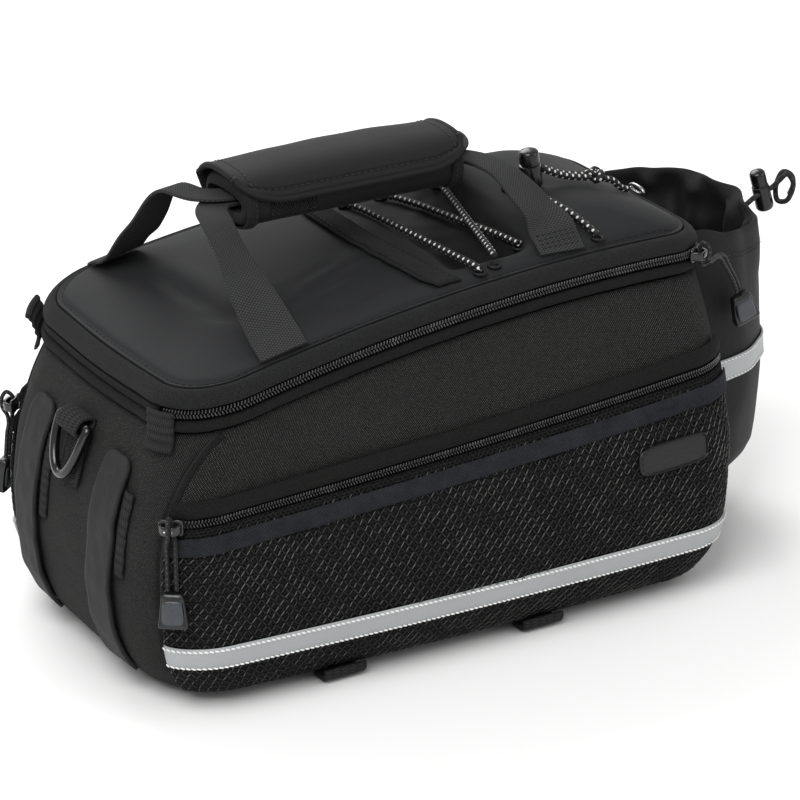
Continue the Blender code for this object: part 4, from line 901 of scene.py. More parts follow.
def makeBody():
    places = roundPlaces(84, 40, 40)
    rows, shares = [], []
    for level in evenSteps(1.0, 0.0, 52):
        level = level if level > 0.12 else 0.12 * (level / 0.12) ** 1.4
        row = []
        for place in places:
            away = seamAway(place, level)
            point = wallPoint(place, level)
            calm = ease(0.0, 0.1, level) * ease(1.0, 0.94, level)
            swell = wallCloth["padding"] * calm * ripple(point, wallCloth["hills"], 3.1)
            swell += wallCloth["dents"] * calm * ripple(point, wallCloth["dentSize"], 7.7)
            swell -= wallCloth["seamDip"] * calm * bump(away, 0.0, wallCloth["seamWidth"])
            swell += wallCloth["seamRoll"] * calm * bump(away, -wallCloth["rollAway"], wallCloth["rollWidth"])
            outward = Vector((math.copysign(1, point.x), 0, 0))
            if abs(point.y) > 0.06:
                outward = Vector((point.x * 0.25, point.y, 0.0)).normalized()
            row.append(point + outward * swell)
            shares.append(1.0 if away > 0 else 0.0)
        rows.append(row)
    low = rows[-1]
    for shrink in (0.96, 0.84, 0.6, 0.3, 0.05):
        rows.append([Vector((p.x * shrink, p.y * shrink, 0.0)) for p in low])
        shares += [0.0] * len(places)
    body = sheetMesh("bodyWalls", rows, "wall", closed=True, thick=wallCloth["thick"])
    keepMask(body, "frontShare", shares)
    standFor(body, "padded_twill", "body_shell")
    for label, mirror in (("near", 1), ("far", -1)):
        shadePath, roll = [], []
        for level in evenSteps(0.985, 0.03, 110):
            calm = ease(0.0, 0.08, level)
            for path, aside, out in ((shadePath, 0.0, -wallCloth["shadeTubeSink"] * calm),
                                     (roll, wallCloth["edgeAside"], wallCloth["edgeLift"] * calm)):
                place = seamAt(level)[0] + aside / cornerLength
                if place >= 8:
                    place = (place - 8) * cornerLength / sideRun
                point = wallPoint(place, level, out)
                path.append(Vector((point.x, point.y * mirror, point.z)))
        # painted shadow: the dark tube sunk along each seam stands in for the shade in its groove
        standFor(tubeMesh("seamShadeTube." + label, shadePath, wallCloth["shadeTubeRadius"], "darkThreadAndShade", 8), "padded_twill")
        standFor(tubeMesh("seamRoll." + label, roll, wallCloth["edgeRadius"], "twill", 10), "padded_twill")


makeBody()
print("body made")

# rim: piping, zip and the rolled border of the lid

rim = {"toothPitch": 0.00145, "toothHalf": (0.00046, 0.0008, 0.00118), "toothRise": 0.00092, "zipStart": -0.8,
       "zipEnd": 5.55}


def sweepRim(name, offsets, finish, places=None, slot="padded_twill", nodes=(), lumps=0.0):
    rows = []
    for place in places or roundPlaces(70, 14, 30):
        swell = lumps * ripple(rimPoint(place), 0.012, 5.5)
        rows.append([rimPoint(place, out + swell, rise) for out, rise in offsets])
    return standFor(loftMesh(name, rows, finish, ring=places is None), slot, *nodes)


def roundSection(halfOut, halfUp, out, rise, sides=14, lean=0.0):
    section = []
    for turn in circleSteps(sides, 0.5):
        up = halfUp * math.sin(turn)
        section.append((out + halfOut * math.cos(turn) - lean * up / halfUp, rise + up))
    return section


def openPlaces(first, last, step=0.02):
    count = max(2, round((last - first) / step))
    return [first + (last - first) * k / count for k in range(count + 1)]


def outwardAt(run, k):
    heading = (run[min(k + 1, len(run) - 1)] - run[max(k - 1, 0)]).normalized()
    outward = heading.cross(Vector((0, 0, 1))).normalized()
    return heading, outward


def makeTeeth(name, run, nodes, slot="zip_coil", rise=0.0004, size=1.0):
    # two interlocked rows of teeth along a run of points
    spots = []
    half = [value * size for value in rim["toothHalf"]]
    steps = evenRun(run, rim["toothPitch"] / 2 * size)
    for k in range(1, len(steps) - 1):
        heading, outward = outwardAt(steps, k)
        if (steps[k] - bagMiddle).dot(outward) < 0:
            outward = -outward
        up = outward.cross(heading).normalized()
        if up.z < 0:
            up = -up
        row = 1 if k % 2 else -1
        centre = steps[k] + up * (rise + row * rim["toothRise"] * size) + outward * half[1]
        lean = (up + heading * 0.28 * row).normalized()
        spots.append((centre, heading * half[0], outward * half[1], lean * half[2]))
    teeth = scatterForm(name, pebbleForm(6, 3), spots, "teeth")
    return standFor(teeth, slot, *nodes)


def makeRim():
    coil, piping = bag["coil"], bag["piping"]
    low = -coil / 2 - room - piping
    sweepRim("bodyPiping", roundSection(piping, piping, 0.0, low), "twill", nodes=("body_piping",),
             lumps=0.0004)
    lean = bag["borderLean"] / 2
    high = coil / 2 + room + bag["border"] / 2
    rolled = roundSection(bag["borderThick"] / 2, bag["border"] / 2, -lean, high, 18, lean)
    sweepRim("lidBorder", rolled, "border", slot="shell_cloth", nodes=("lid_border",), lumps=0.0004)
    zipPlaces = openPlaces(rim["zipStart"], rim["zipEnd"])
    tape = coil / 2 - room
    strip = [(-room - bag["tape"], -tape), (-room, -tape), (-room, tape), (-room - bag["tape"], tape)]
    sweepRim("mainZipTape", strip, "zipTape", zipPlaces, nodes=("main_zip_tape",))
    makeTeeth("mainZipTeeth", [rimPoint(place) for place in zipPlaces], ("main_zip_coil",))
    hinge = [(-room - bag["tape"], -tape), (0.0004, -tape), (bag["tape"], -tape * 0.4),
             (bag["tape"] * 0.6, tape * 0.3), (bag["tape"], tape), (-room - bag["tape"], tape)]
    hingePlaces = openPlaces(rim["zipEnd"] + 0.06, rim["zipStart"] + 8 - 0.06)
    sweepRim("lidHinge", hinge, "twill", hingePlaces, nodes=("lid_hinge",))


makeRim()
print("rim made")

# lid

lid = {"crown": 0.0165, "recess": 0.007, "recessX": 0.1154 * bag["length"], "recessLength": 0.05,
       "recessWidth": 0.112, "slope": 0.012, "spine": 0.75, "groove": 0.0012, "grooveFrom": 0.0022,
       "grooveWidth": 0.0011, "thick": 0.0028, "wrinkle": 0.0021, "wrinkleAt": (-0.032, -0.04),
       "wrinkleReach": 0.021, "wrinkleTurn": 15, "creasing": 1.7, "hills": 0.00055, "panelHills": 0.0012}
lidShape = [(0.0, 1.0), (0.2, 0.99), (0.42, 0.92), (0.64, 0.74), (0.82, 0.46), (0.94, 0.2), (1.0, 0.0)]
lidCrown = [(0.0, 0.3), (0.25, 0.42), (0.5, 0.46), (0.64, 0.52), (0.74, 0.86), (0.86, 1.0), (1.0, 0.85)]
lidRiseAt = steadyCurve(lidShape)
lidCrownAt = steadyCurve(lidCrown)
grooveIn = bag["borderLean"] * 0.75 + bag["borderThick"] * 0.433 + room
grooveRise = bag["coil"] / 2 + bag["border"] + 2 * room
# creases of the lid: both ends in x and y, depth and width
creases = [
    {"from": (-0.0834, 0.038), "to": (-0.08, -0.036), "depth": 0.0017, "width": 0.0044},
    {"from": (-0.09, -0.01), "to": (-0.062, -0.058), "depth": 0.0011, "width": 0.005},
    {"from": (-0.056, -0.04), "to": (-0.03, -0.07), "depth": 0.0006, "width": 0.004},
    {"from": (-0.012, -0.052), "to": (0.024, -0.066), "depth": 0.0007, "width": 0.004},
    {"from": (0.065, -0.02), "to": (0.072, -0.06), "depth": 0.0005, "width": 0.006},
]


def recessShare(x, y):
    across = ease(lid["recessWidth"] / 2, lid["recessWidth"] / 2 - lid["slope"], abs(y))
    half = lid["recessLength"] / 2
    return across * ease(half, half - lid["slope"], abs(x - lid["recessX"]))


def creaseDepth(x, y):
    total = 0.0
    for crease in creases:
        a, b = Vector(crease["from"]), Vector(crease["to"])
        along = b - a
        share = (Vector((x, y)) - a).dot(along) / along.length_squared
        away = (Vector((x, y)) - a - along * min(max(share, 0.0), 1.0)).length
        fade = math.sin(math.pi * min(max(share, 0.04), 0.96))
        total += crease["depth"] * bump(away, 0.0, crease["width"]) * fade
    return total


def lidWrinkle(x, y):  # soft folds between the near strap and the seam tape
    turn = math.radians(lid["wrinkleTurn"])
    spotX, spotY = lid["wrinkleAt"]
    u, v = x * math.cos(turn) + y * math.sin(turn), y * math.cos(turn) - x * math.sin(turn)
    near = bump(math.hypot((x - spotX) / 1.4, y - spotY), 0.0, lid["wrinkleReach"])
    return lid["wrinkle"] * near * ripple((u * 0.28, v, 0.0), 0.0075, 4.4)


def lidPoint(place, scale):
    edge = rimPoint(place, -grooveIn)
    middleX = (bag["zipInFront"] - bag["zipInRear"]) / 2
    x = middleX + (edge.x - middleX) * (1 - lid["spine"] * (1 - scale))
    y = edge.y * scale
    along = (x + bag["length"] / 2) / bag["length"]
    crown = lid["crown"] * lidCrownAt(along)[0]
    z = zipHeight(x) + grooveRise + crown * lidRiseAt(scale)[0] - lid["recess"] * recessShare(x, y)
    inside = (edge - Vector((x, y, edge.z))).length
    z -= lid["groove"] * bump(inside, lid["grooveFrom"], lid["grooveWidth"])
    calm = ease(0.004, 0.016, inside)
    z += calm * (lidWrinkle(x, y) - lid["creasing"] * creaseDepth(x, y))
    z += (calm * lid["hills"] * ripple((x, y, 0.0), 0.03, 2.2)
          + calm * recessShare(x, y) * lid["panelHills"] * ripple((x, y, 0.0), 0.012, 9.0))
    return Vector((x, y, z))


def makeLid():
    places = roundPlaces(84, 14, 36)
    scales = [1.0, 0.992, 0.984, 0.976, 0.967, 0.957, 0.946, 0.933]
    scales += [0.915 * (1 - k / 30) for k in range(31)]
    lip = grooveRise - bag["coil"] / 2
    rows = [[rimPoint(place, -grooveIn, lip - grooveRise) for place in places]]
    rows += [[lidPoint(place, scale) for place in places] for scale in scales]
    points = [p for row in rows for p in row]
    faces = gridFaces(len(rows), len(places), True)
    corners = [[tuple(points[k].xy) for k in face] for face in faces]
    piece = addMesh("lidShell", points, faces, corners, "lid", 60, bagMiddle)
    work = bmesh.new()
    work.from_mesh(piece.data)
    bmesh.ops.remove_doubles(work, verts=work.verts, dist=0.00005)
    work.to_mesh(piece.data)
    work.free()
    keepMask(piece, "panelShare", [ease(0.15, 0.6, recessShare(v.co.x, v.co.y)) for v in piece.data.vertices])
    tree = surfaceTree(piece)
    thicken(piece, lid["thick"])
    standFor(piece, "shell_cloth", "lid")
    return tree


lidTree = makeLid()


def makeLidStitches():
    path, normals = [], []
    for place in openPlaces(0.0, 8.0, 0.02):
        edge = rimPoint(place, -grooveIn - lid["grooveFrom"])
        path.append(dropOn(lidTree, edge.x, edge.y, 0.0001))
        normals.append(Vector((0, 0, 1)))
    spots = stitchSpots(path, normals, 0.0034, 0.0025, 0.00026)
    sewOn("lidStitches", spots, "darkThreadAndShade", "shell_cloth")


seamTape = {"x": -0.0217 * bag["length"], "reach": 0.046, "ends": (-0.0626, 0.05), "bow": 0.005, "width": 0.011,
            "thick": 0.0012, "cloth": 0.001, "thinFrom": 0.05, "thinTo": 0.0626, "ridge": 0.0007,
            "wavy": 0.0003}


def makeSeamTape():
    rows = []
    for y in evenSteps(*seamTape["ends"], 56):
        middleX = seamTape["x"] + seamTape["bow"] * (abs(y) / seamTape["reach"]) ** 3
        row = []
        for across in evenSteps(-1, 1, 11):
            thick = seamTape["thick"] * (0.25 + 0.75 * ease(seamTape["thinTo"], seamTape["thinFrom"], abs(y)))
            wavy = seamTape["wavy"] * ripple((middleX, y, across * 0.01), 0.008, 4.0)
            lift = 5 * room + thick * (1 - across ** 6) + wavy
            row.append(dropOn(lidTree, middleX + across * seamTape["width"] / 2, y, lift))
        rows.append(row)
    ridge = [row[0] + Vector((0, 0, 0.0002)) for row in rows]
    standFor(tubeMesh("seamTapeRidge", ridge, seamTape["ridge"], "border", 8), "shell_cloth")
    tape = sheetMesh("lidSeamTape", rows, "border", thick=seamTape["cloth"])
    standFor(tape, "shell_cloth", "lid_seam_tape")
    spots = []
    for column in (1, 9):
        path = [row[column] + Vector((0, 0, 0.0001)) for row in rows]
        spots += stitchSpots(path, Vector((0, 0, 1)), 0.0032, 0.0023, 0.00024)
    sewOn("seamTapeStitches", spots, "darkThreadAndShade", "shell_cloth")


makeLidStitches()
makeSeamTape()
print("lid made")

# side pockets

pocket = {"topFront": 0.084, "topRear": 0.103, "bottom": 0.004, "edge": 0.0026, "fullness": 0.007,
          "coil": 0.0019, "lipHeight": 0.007, "lipThick": 0.003, "band": 0.0075, "bandDrop": 0.003,
          "stripe": 0.0112, "stripeHeight": 0.0225, "first": -0.5, "last": 1.55, "cloth": 0.0012,
          "tape": 0.0007, "looseness": 0.0009, "crumple": 0.0005, "gather": 0.00035, "bandLift": 0.0007,
          "stripeLift": 0.0009}


def pocketTop(x):
    along = (x + bag["length"] / 2) / bag["length"]
    return pocket["topFront"] + (pocket["topRear"] - pocket["topFront"]) * along


def pocketBulge(along, up):
    lengthways = math.sin(math.pi * min(max(along, 0.0), 1.0)) ** 0.5
    upward = math.sin(math.pi * min(max(up, 0.0), 1.0) ** 0.8) ** 0.7
    return pocket["edge"] + pocket["fullness"] * lengthways * upward


def pocketHeight(place, level):
    x = wallAtHeight(place, pocket["topFront"]).x
    return pocket["bottom"] + (pocketTop(x) - pocket["bottom"]) * level


def pocketPoint(place, height, side, lift=0.0, bulge=True):
    x = wallAtHeight(place, height).x
    along = (place - pocket["first"]) / (pocket["last"] - pocket["first"])
    up = (height - pocket["bottom"]) / (pocketTop(x) - pocket["bottom"])
    point = wallAtHeight(place, height, (pocketBulge(along, up) if bulge else 0.0) + lift)
    point.y *= -side
    return point


def pocketHills(point, side, level):  # loose cloth between the zip and the bottom hem
    pull = ease(0.0, 0.12, level) * ease(1.0, 0.93, level)
    flat = (point.x, 0.0, point.z)
    return pull * side * (pocket["looseness"] * ripple(flat, 0.02, side)
                          + pocket["crumple"] * ripple(flat, 0.007, 3 + side))


def pocketPlaces(step=0.022):
    return openPlaces(pocket["first"], pocket["last"], step)


def makePocket(label, side):
    rows = []
    for level in evenSteps(0.0, 1.0, 34):
        row = []
        for place in pocketPlaces():
            point = pocketPoint(place, pocketHeight(place, level), side)
            row.append(point + Vector((0, pocketHills(point, side, level), 0)))
        rows.append(row)
    standFor(sheetMesh("pocketMesh." + label, rows, "knit", thick=pocket["cloth"]), "mesh_cloth",
             "side_pocket_" + label)
    bandRows, stripeRows = [], []
    for share in evenSteps(0.0, 1.0, 9):
        bandRow, stripeRow = [], []
        for place in pocketPlaces(0.012):
            top = pocketHeight(place, 1.0) - pocket["bandDrop"]
            height = top - pocket["band"] * (1 - share)
            base = pocketPoint(place, height, side)
            gather = pocket["gather"] * ripple((base.x, 0.0, base.z * 0.3), 0.003, 6 + side)
            bandRow.append(pocketPoint(place, height, side, 2 * room + pocket["bandLift"] + gather))
            lift = 2 * room + pocket["stripeLift"] * (1 - abs(2 * share - 1) ** 8)
            stripeRow.append(pocketPoint(place, pocket["stripeHeight"] + pocket["stripe"] * share, side, lift))
        bandRows.append(bandRow)
        stripeRows.append(stripeRow)
    standFor(sheetMesh("pocketBand." + label, bandRows, "band", thick=pocket["tape"]), "webbing",
             "pocket_band_" + label)
    standFor(sheetMesh("stripe." + label, stripeRows, "tape", thick=pocket["tape"]), "reflective_tape",
             "reflective_stripe_" + label)
    spots = []
    for share in (0.1, 0.9):
        height = pocket["stripeHeight"] + pocket["stripe"] * share
        path = [pocketPoint(place, height, side, 2 * room + 0.0011) for place in pocketPlaces(0.008)]
        normals = [Vector((0, side, 0)) if 0 < place < 1 else Vector((point.x, point.y * 0.6, 0)).normalized()
                   for place, point in zip(pocketPlaces(0.008), path)]
        spots += stitchSpots(path, normals, 0.0023, 0.0022, 0.00048, 0.25)
    sewOn("stripeStitches." + label, spots, "whiteThread", "reflective_tape", 6)
    teethRun, lipRows = [], []
    for place in pocketPlaces(0.015):
        height = pocketHeight(place, 1.0) + room + pocket["coil"]
        teethRun.append(pocketPoint(place, height, side, 2 * room + 0.001, bulge=False))
        height += pocket["coil"] + room + pocket["lipHeight"] / 2
        section = []
        for turn in circleSteps(12, 0.5):
            wobble = 1 + 0.1 * ripple((teethRun[-1].x, 0.0, 0.0), 0.02, 8 + side)
            out = 2 * room + pocket["lipThick"] / 2 * (1 + math.cos(turn)) * wobble
            section.append(pocketPoint(place, height + pocket["lipHeight"] / 2 * math.sin(turn), side, out,
                                       bulge=False))
        lipRows.append(section)
    makeTeeth("pocketTeeth." + label, teethRun, ("pocket_zip_" + label,), size=0.92, rise=0.0)
    standFor(loftMesh("pocketLip." + label, lipRows, "twill", softEnds=True), "padded_twill",
             "pocket_lip_" + label)
    tape = []
    for rise in (-0.0021, 0.0, 0.0021):
        tape.append([pocketPoint(place, pocketHeight(place, 1.0) + room + pocket["coil"] + rise, side, 2 * room,
                                 bulge=False)
                     for place in pocketPlaces(0.03)])
    standFor(sheetMesh("pocketZipTape." + label, tape, "zipTape", thick=0.0006), "padded_twill")


bothSides = (("near", -1), ("far", 1))
for pocketLabel, pocketSide in bothSides:
    makePocket(pocketLabel, pocketSide)

badge = {"length": 0.038, "height": 0.013, "place": 0.93, "level": 0.72, "rib": 0.00018, "ribTurns": 34,
         "ribbed": 0.88, "sewnAt": 0.93, "rimTop": 0.0019}
badgeShape = [(1.0, 3 * room), (1.0, 0.001), (0.985, 0.0016), (0.95, 0.00185), (0.91, 0.0017), (0.89, 0.0012),
              (0.8, 0.0012), (0.6, 0.0012), (0.4, 0.0012), (0.2, 0.0012)]  # share of the outline, lift

net = {"cell": 0.0042, "row": 0.0027, "thread": 0.0003, "lift": 0.0003, "reach": 0.47, "sway": 0.0009,
       "rise": 0.0007, "shortest": 0.0008, "top": 0.985}


def makeNet(label, side):
    # threads of the mesh, leaning one way and back so that they close diamond eyelets
    places = pocketPlaces(0.02)
    lengths = runLengths([pocketPoint(place, 0.045, side) for place in places])
    spots = {"netPale": [], "netMiddle": [], "netDark": []}
    rowsUp = int((pocket["topRear"] - pocket["bottom"]) / net["row"])
    for r in range(rowsUp):
        for c in range(int(lengths[-1] / net["cell"] * 2)):
            lean = 1 if (r + c) % 2 else -1
            ends = []
            for step in (0, 1):
                u = (c + 0.5 + lean * (step - 0.5)) * net["cell"] / 2
                u += net["sway"] * ripple((u, 0.0, r * net["row"]), 0.005, 2 + side)
                place = float(np.interp(u, lengths, places))
                rise = net["rise"] * ripple((u, 0.0, r * 0.003), 0.006, 4 + side)
                height = pocket["bottom"] + (r + step) * net["row"] + rise
                level = (height - pocket["bottom"]) / (pocketHeight(place, 1.0) - pocket["bottom"])
                if level > net["top"]:
                    break
                point = pocketPoint(place, height, side, net["lift"])
                ends.append(point + Vector((0, pocketHills(point, side, level), 0)))
            if len(ends) < 2:
                continue
            half = (ends[1] - ends[0]) * (net["reach"] + 0.12 * noise.noise(Vector((c * 0.9, r * 1.1, 7.0))))
            if half.length < net["shortest"]:
                continue
            normal = Vector((0, side, 0))
            if not 0.05 < place < 0.95:
                normal = Vector((ends[0].x, ends[0].y * 1.2, 0)).normalized()
            across = half.cross(normal).normalized()
            chance = (0.5 + 0.35 * noise.cell(Vector((c * 1.7 + 0.3, r * 2.3 + 0.4, side * 5.0)))
                      + 0.5 * noise.noise(Vector((c * 0.13, r * 0.2, side))))
            if lean > 0:
                kind = "netPale" if chance > 0.48 else "netMiddle"
            else:
                kind = "netMiddle" if chance > 0.86 else "netDark"
            spots[kind].append(((ends[0] + ends[1]) / 2, across * net["thread"], normal * net["thread"], half))
    for kind, found in spots.items():
        sewOn("pocket" + kind.capitalize() + "." + label, found, kind, "mesh_cloth")


for pocketLabel, pocketSide in bothSides:
    makeNet(pocketLabel, pocketSide)


def badgePoint(turn, shrink, lift):
    reachX, reachZ = fuller(math.cos(turn), 0.45) * shrink, fuller(math.sin(turn), 0.5) * shrink
    place = badge["place"] + badge["length"] / 2 * reachX / sideRun
    height = pocketHeight(place, badge["level"]) + badge["height"] / 2 * reachZ
    rib = 0.0
    if shrink < badge["ribbed"]:
        rib = badge["rib"] * (0.5 + 0.5 * math.cos(reachX * badge["ribTurns"]))
    return pocketPoint(place, height, -1, lift + rib)


def makeBadge():  # plain rubber patch with a raised rim and shallow ribs
    rows = [[badgePoint(turn, shrink, lift) for turn in circleSteps(72)] for shrink, lift in badgeShape]
    standFor(loftMesh("rubberPatch", rows, "rubber", sharp=50), "rubber_patch", "badge")
    path = [badgePoint(2 * math.pi * k / 96, badge["sewnAt"], badge["rimTop"]) for k in range(97)]
    spots = stitchSpots(path, Vector((0.1, -1, 0.1)), 0.0024, 0.0017, 0.0002)
    sewOn("patchStitches", spots, "darkThreadAndShade", "rubber_patch")


makeBadge()
print("pockets made")

# bottle pouch

pouch = {"reach": 0.0585, "halfWidth": 0.046, "bottom": 0.025, "top": 0.151, "cloth": 0.002, "gather": 0.0022,
         "gathers": 5, "steps": 96, "band": 0.083, "bandWidth": 0.0105, "wrinkle": 0.0016,
         "sag": 0.0075, "sagAt": -0.75, "innerFold": 0.014, "hemStitches": (0.0105, 0.0125)}
# level, reach, width, gather
pouchShape = [(0.0, 0.7, 0.72, 0.0), (0.03, 0.86, 0.86, 0.0), (0.1, 0.97, 0.96, 0.0), (0.3, 1.0, 1.0, 0.0),
              (0.62, 0.99, 0.98, 0.1), (0.85, 0.945, 0.95, 0.5), (1.0, 0.895, 0.93, 1.0)]
pouchAt = steadyCurve(pouchShape)


def pouchRing(level, inset=0.0, wrinkles=True):
    reachShare, widthShare, gather = pouchAt(level)
    height = pouch["bottom"] + (pouch["top"] - pouch["bottom"]) * level
    half = pouch["halfWidth"] * widthShare - inset
    wallX = bag["length"] / 2 + room * 2
    ring = []
    for k in range(pouch["steps"] + 1):
        turn = -math.pi / 2 + math.pi * k / pouch["steps"]
        gathered = pouch["gather"] * gather * math.cos(2 * pouch["gathers"] * turn)
        reach = (pouch["reach"] * reachShare - inset + gathered) * max(math.cos(turn), 0.0) ** 0.8
        spot = Vector((wallX + max(reach, inset), half * math.sin(turn), height))
        if wrinkles:
            loose = ease(0.0, 0.25, math.cos(turn))
            fold = ripple((0.0, turn * 0.035, height * 0.45), 0.011, 1.3) * (0.45 + 0.75 * level)
            fold += ripple((0.0, turn * 0.035, height), 0.024, 6.3) * 0.6
            spot += Vector((math.cos(turn), math.sin(turn), 0)) * (loose * pouch["wrinkle"] * fold)
            sag = ease(0.6, 1.0, level) * (bump(turn, pouch["sagAt"], 0.75) * pouch["sag"]
                                           + 0.0012 * ripple((turn * 0.05, 0.0, 0.0), 0.012, 3.0))
            spot.z -= sag * loose
        ring.append(spot)
    for k in range(1, 10):
        ring.append(Vector((wallX + inset, half * (1 - k / 5), height)))
    return ring


def pouchLevel(height):
    return (height - pouch["bottom"]) / (pouch["top"] - pouch["bottom"])


def makePouch():
    levels = [0.0, 0.012, 0.03, 0.06] + [0.1 + 0.9 * k / 44 for k in range(45)]
    outer = [pouchRing(level) for level in levels]
    inset = pouchRing(1.0, pouch["cloth"])
    rolled = [[p.lerp(q, 0.5) + Vector((0, 0, 0.0008)) for p, q in zip(outer[-1], inset)]]
    inner = []
    for level in reversed(levels[2:]):
        ring = pouchRing(level, pouch["cloth"])
        for k, p in enumerate(ring[:pouch["steps"] + 1]):
            turn = -math.pi / 2 + math.pi * k / pouch["steps"]
            fold = max(0.0, ripple((turn * 0.035, 0.0, p.z * 0.6), 0.012, 8.8) + 0.25) * pouch["innerFold"]
            fold *= ease(0.45, 0.8, level) * ease(1.0, 0.95, level) * ease(0.1, 0.4, math.cos(turn))
            p -= Vector((math.cos(turn), math.sin(turn), 0)) * fold
        inner.append(ring)
    floor = [p.copy() for p in pouchRing(levels[2], pouch["cloth"] * 2)]
    for p in floor:
        p.z = pouch["bottom"] + pouch["cloth"]
    standFor(loftMesh("bottlePouch", outer + rolled + inner + [floor], "pouch", sharp=70), "shell_cloth",
             "bottle_pouch")
    rows = []
    for share in evenSteps(0, 1, 7):
        level = pouchLevel(pouch["band"] + pouch["bandWidth"] * (share - 0.5))
        rows.append(pouchRing(level, -0.0012)[2:pouch["steps"] - 1])
    standFor(sheetMesh("pouchBand", rows, "tape", thick=0.0008), "reflective_tape", "pouch_band")
    spots = []
    for share in (0.08, 0.92):
        level = pouchLevel(pouch["band"] + pouch["bandWidth"] * (share - 0.5))
        path = pouchRing(level, -0.0014)[2:pouch["steps"] - 1]
        spots += stitchSpots(path, [Vector((p.x - 0.17, p.y, 0)) for p in path], 0.0023, 0.0021, 0.00032, 0.25)
    sewOn("pouchBandStitches", spots, "whiteThread", "reflective_tape", 6)
    spots = []
    for drop in pouch["hemStitches"]:
        level = pouchLevel(pouch["top"] - drop)
        path = pouchRing(level, -0.0002)[1:pouch["steps"]]
        spots += stitchSpots(path, [Vector((p.x - 0.17, p.y, 0)) for p in path], 0.003, 0.0021, 0.00022)
    sewOn("pouchHemStitches", spots, "greyThread", "shell_cloth")


makePouch()
print("pouch made")

# handle, its flap and the webbing through it

handle = {"front": -0.2308 * bag["length"], "rear": 0.1399 * bag["length"], "height": 0.1935,
          "halfWidth": 0.0185, "halfHeight": 0.0105, "flap": 0.0035, "overhang": 0.002, "crown": 0.0015,
          "from": -24.0, "to": 168.0, "fullAbove": 0.8, "fullBelow": 0.72, "lumps": 0.0007, "flapThick": 0.002,
          "flapRoll": 0.0015, "cornerShare": 0.38, "cornerTurn": 46, "hookTape": (0.012, 0.034),
          "hookTurn": (171, 2.3), "bindingStitch": 0.0046}
# reach from the end, how far the edge draws in
wrapRim = [(0.0, 0.0026), (0.0008, 0.0012), (0.0022, 0.0004), (0.004, 0.0)]
wrapBinding = [(0.0006, 0.0002), (0.0012, 0.001), (0.0024, 0.0013), (0.0052, 0.0012), (0.0062, 0.0008),
               (0.0064, 0.0001)]
handleMiddle = Vector((-0.013, 0, handle["height"]))
web = {"width": 0.022, "thick": 0.0016, "foldReach": 0.015, "turn": 0.02, "layer": 0.0016 / 2 + 0.0003}
foldFront, foldRear = handle["front"] - web["foldReach"], handle["rear"] + web["foldReach"]


def handlePoint(x, turn, grow, halfWidth, halfHeight, power=None):
    # fuller than an oval, and more so underneath
    c, d = math.cos(turn), math.sin(turn)
    power = power or (handle["fullBelow"] if d < 0 else handle["fullAbove"])
    y = (halfWidth + grow) * fuller(c, power)
    return Vector((x, y, handle["height"] + (halfHeight + grow) * fuller(d, power)))


def handleSection(x, grow, halfWidth=None, halfHeight=None, sides=64, seed=0.0):
    halfWidth = halfWidth or handle["halfWidth"]
    halfHeight = halfHeight or handle["halfHeight"]
    section = []
    for turn in circleSteps(sides):
        point = handlePoint(x, turn, grow, halfWidth, halfHeight)
        lump = 0.0 if seed < 0 else handle["lumps"] * ripple(point, 0.016, 11 + seed)
        section.append(point + Vector((0, math.copysign(lump, point.y), 0)))
    return section


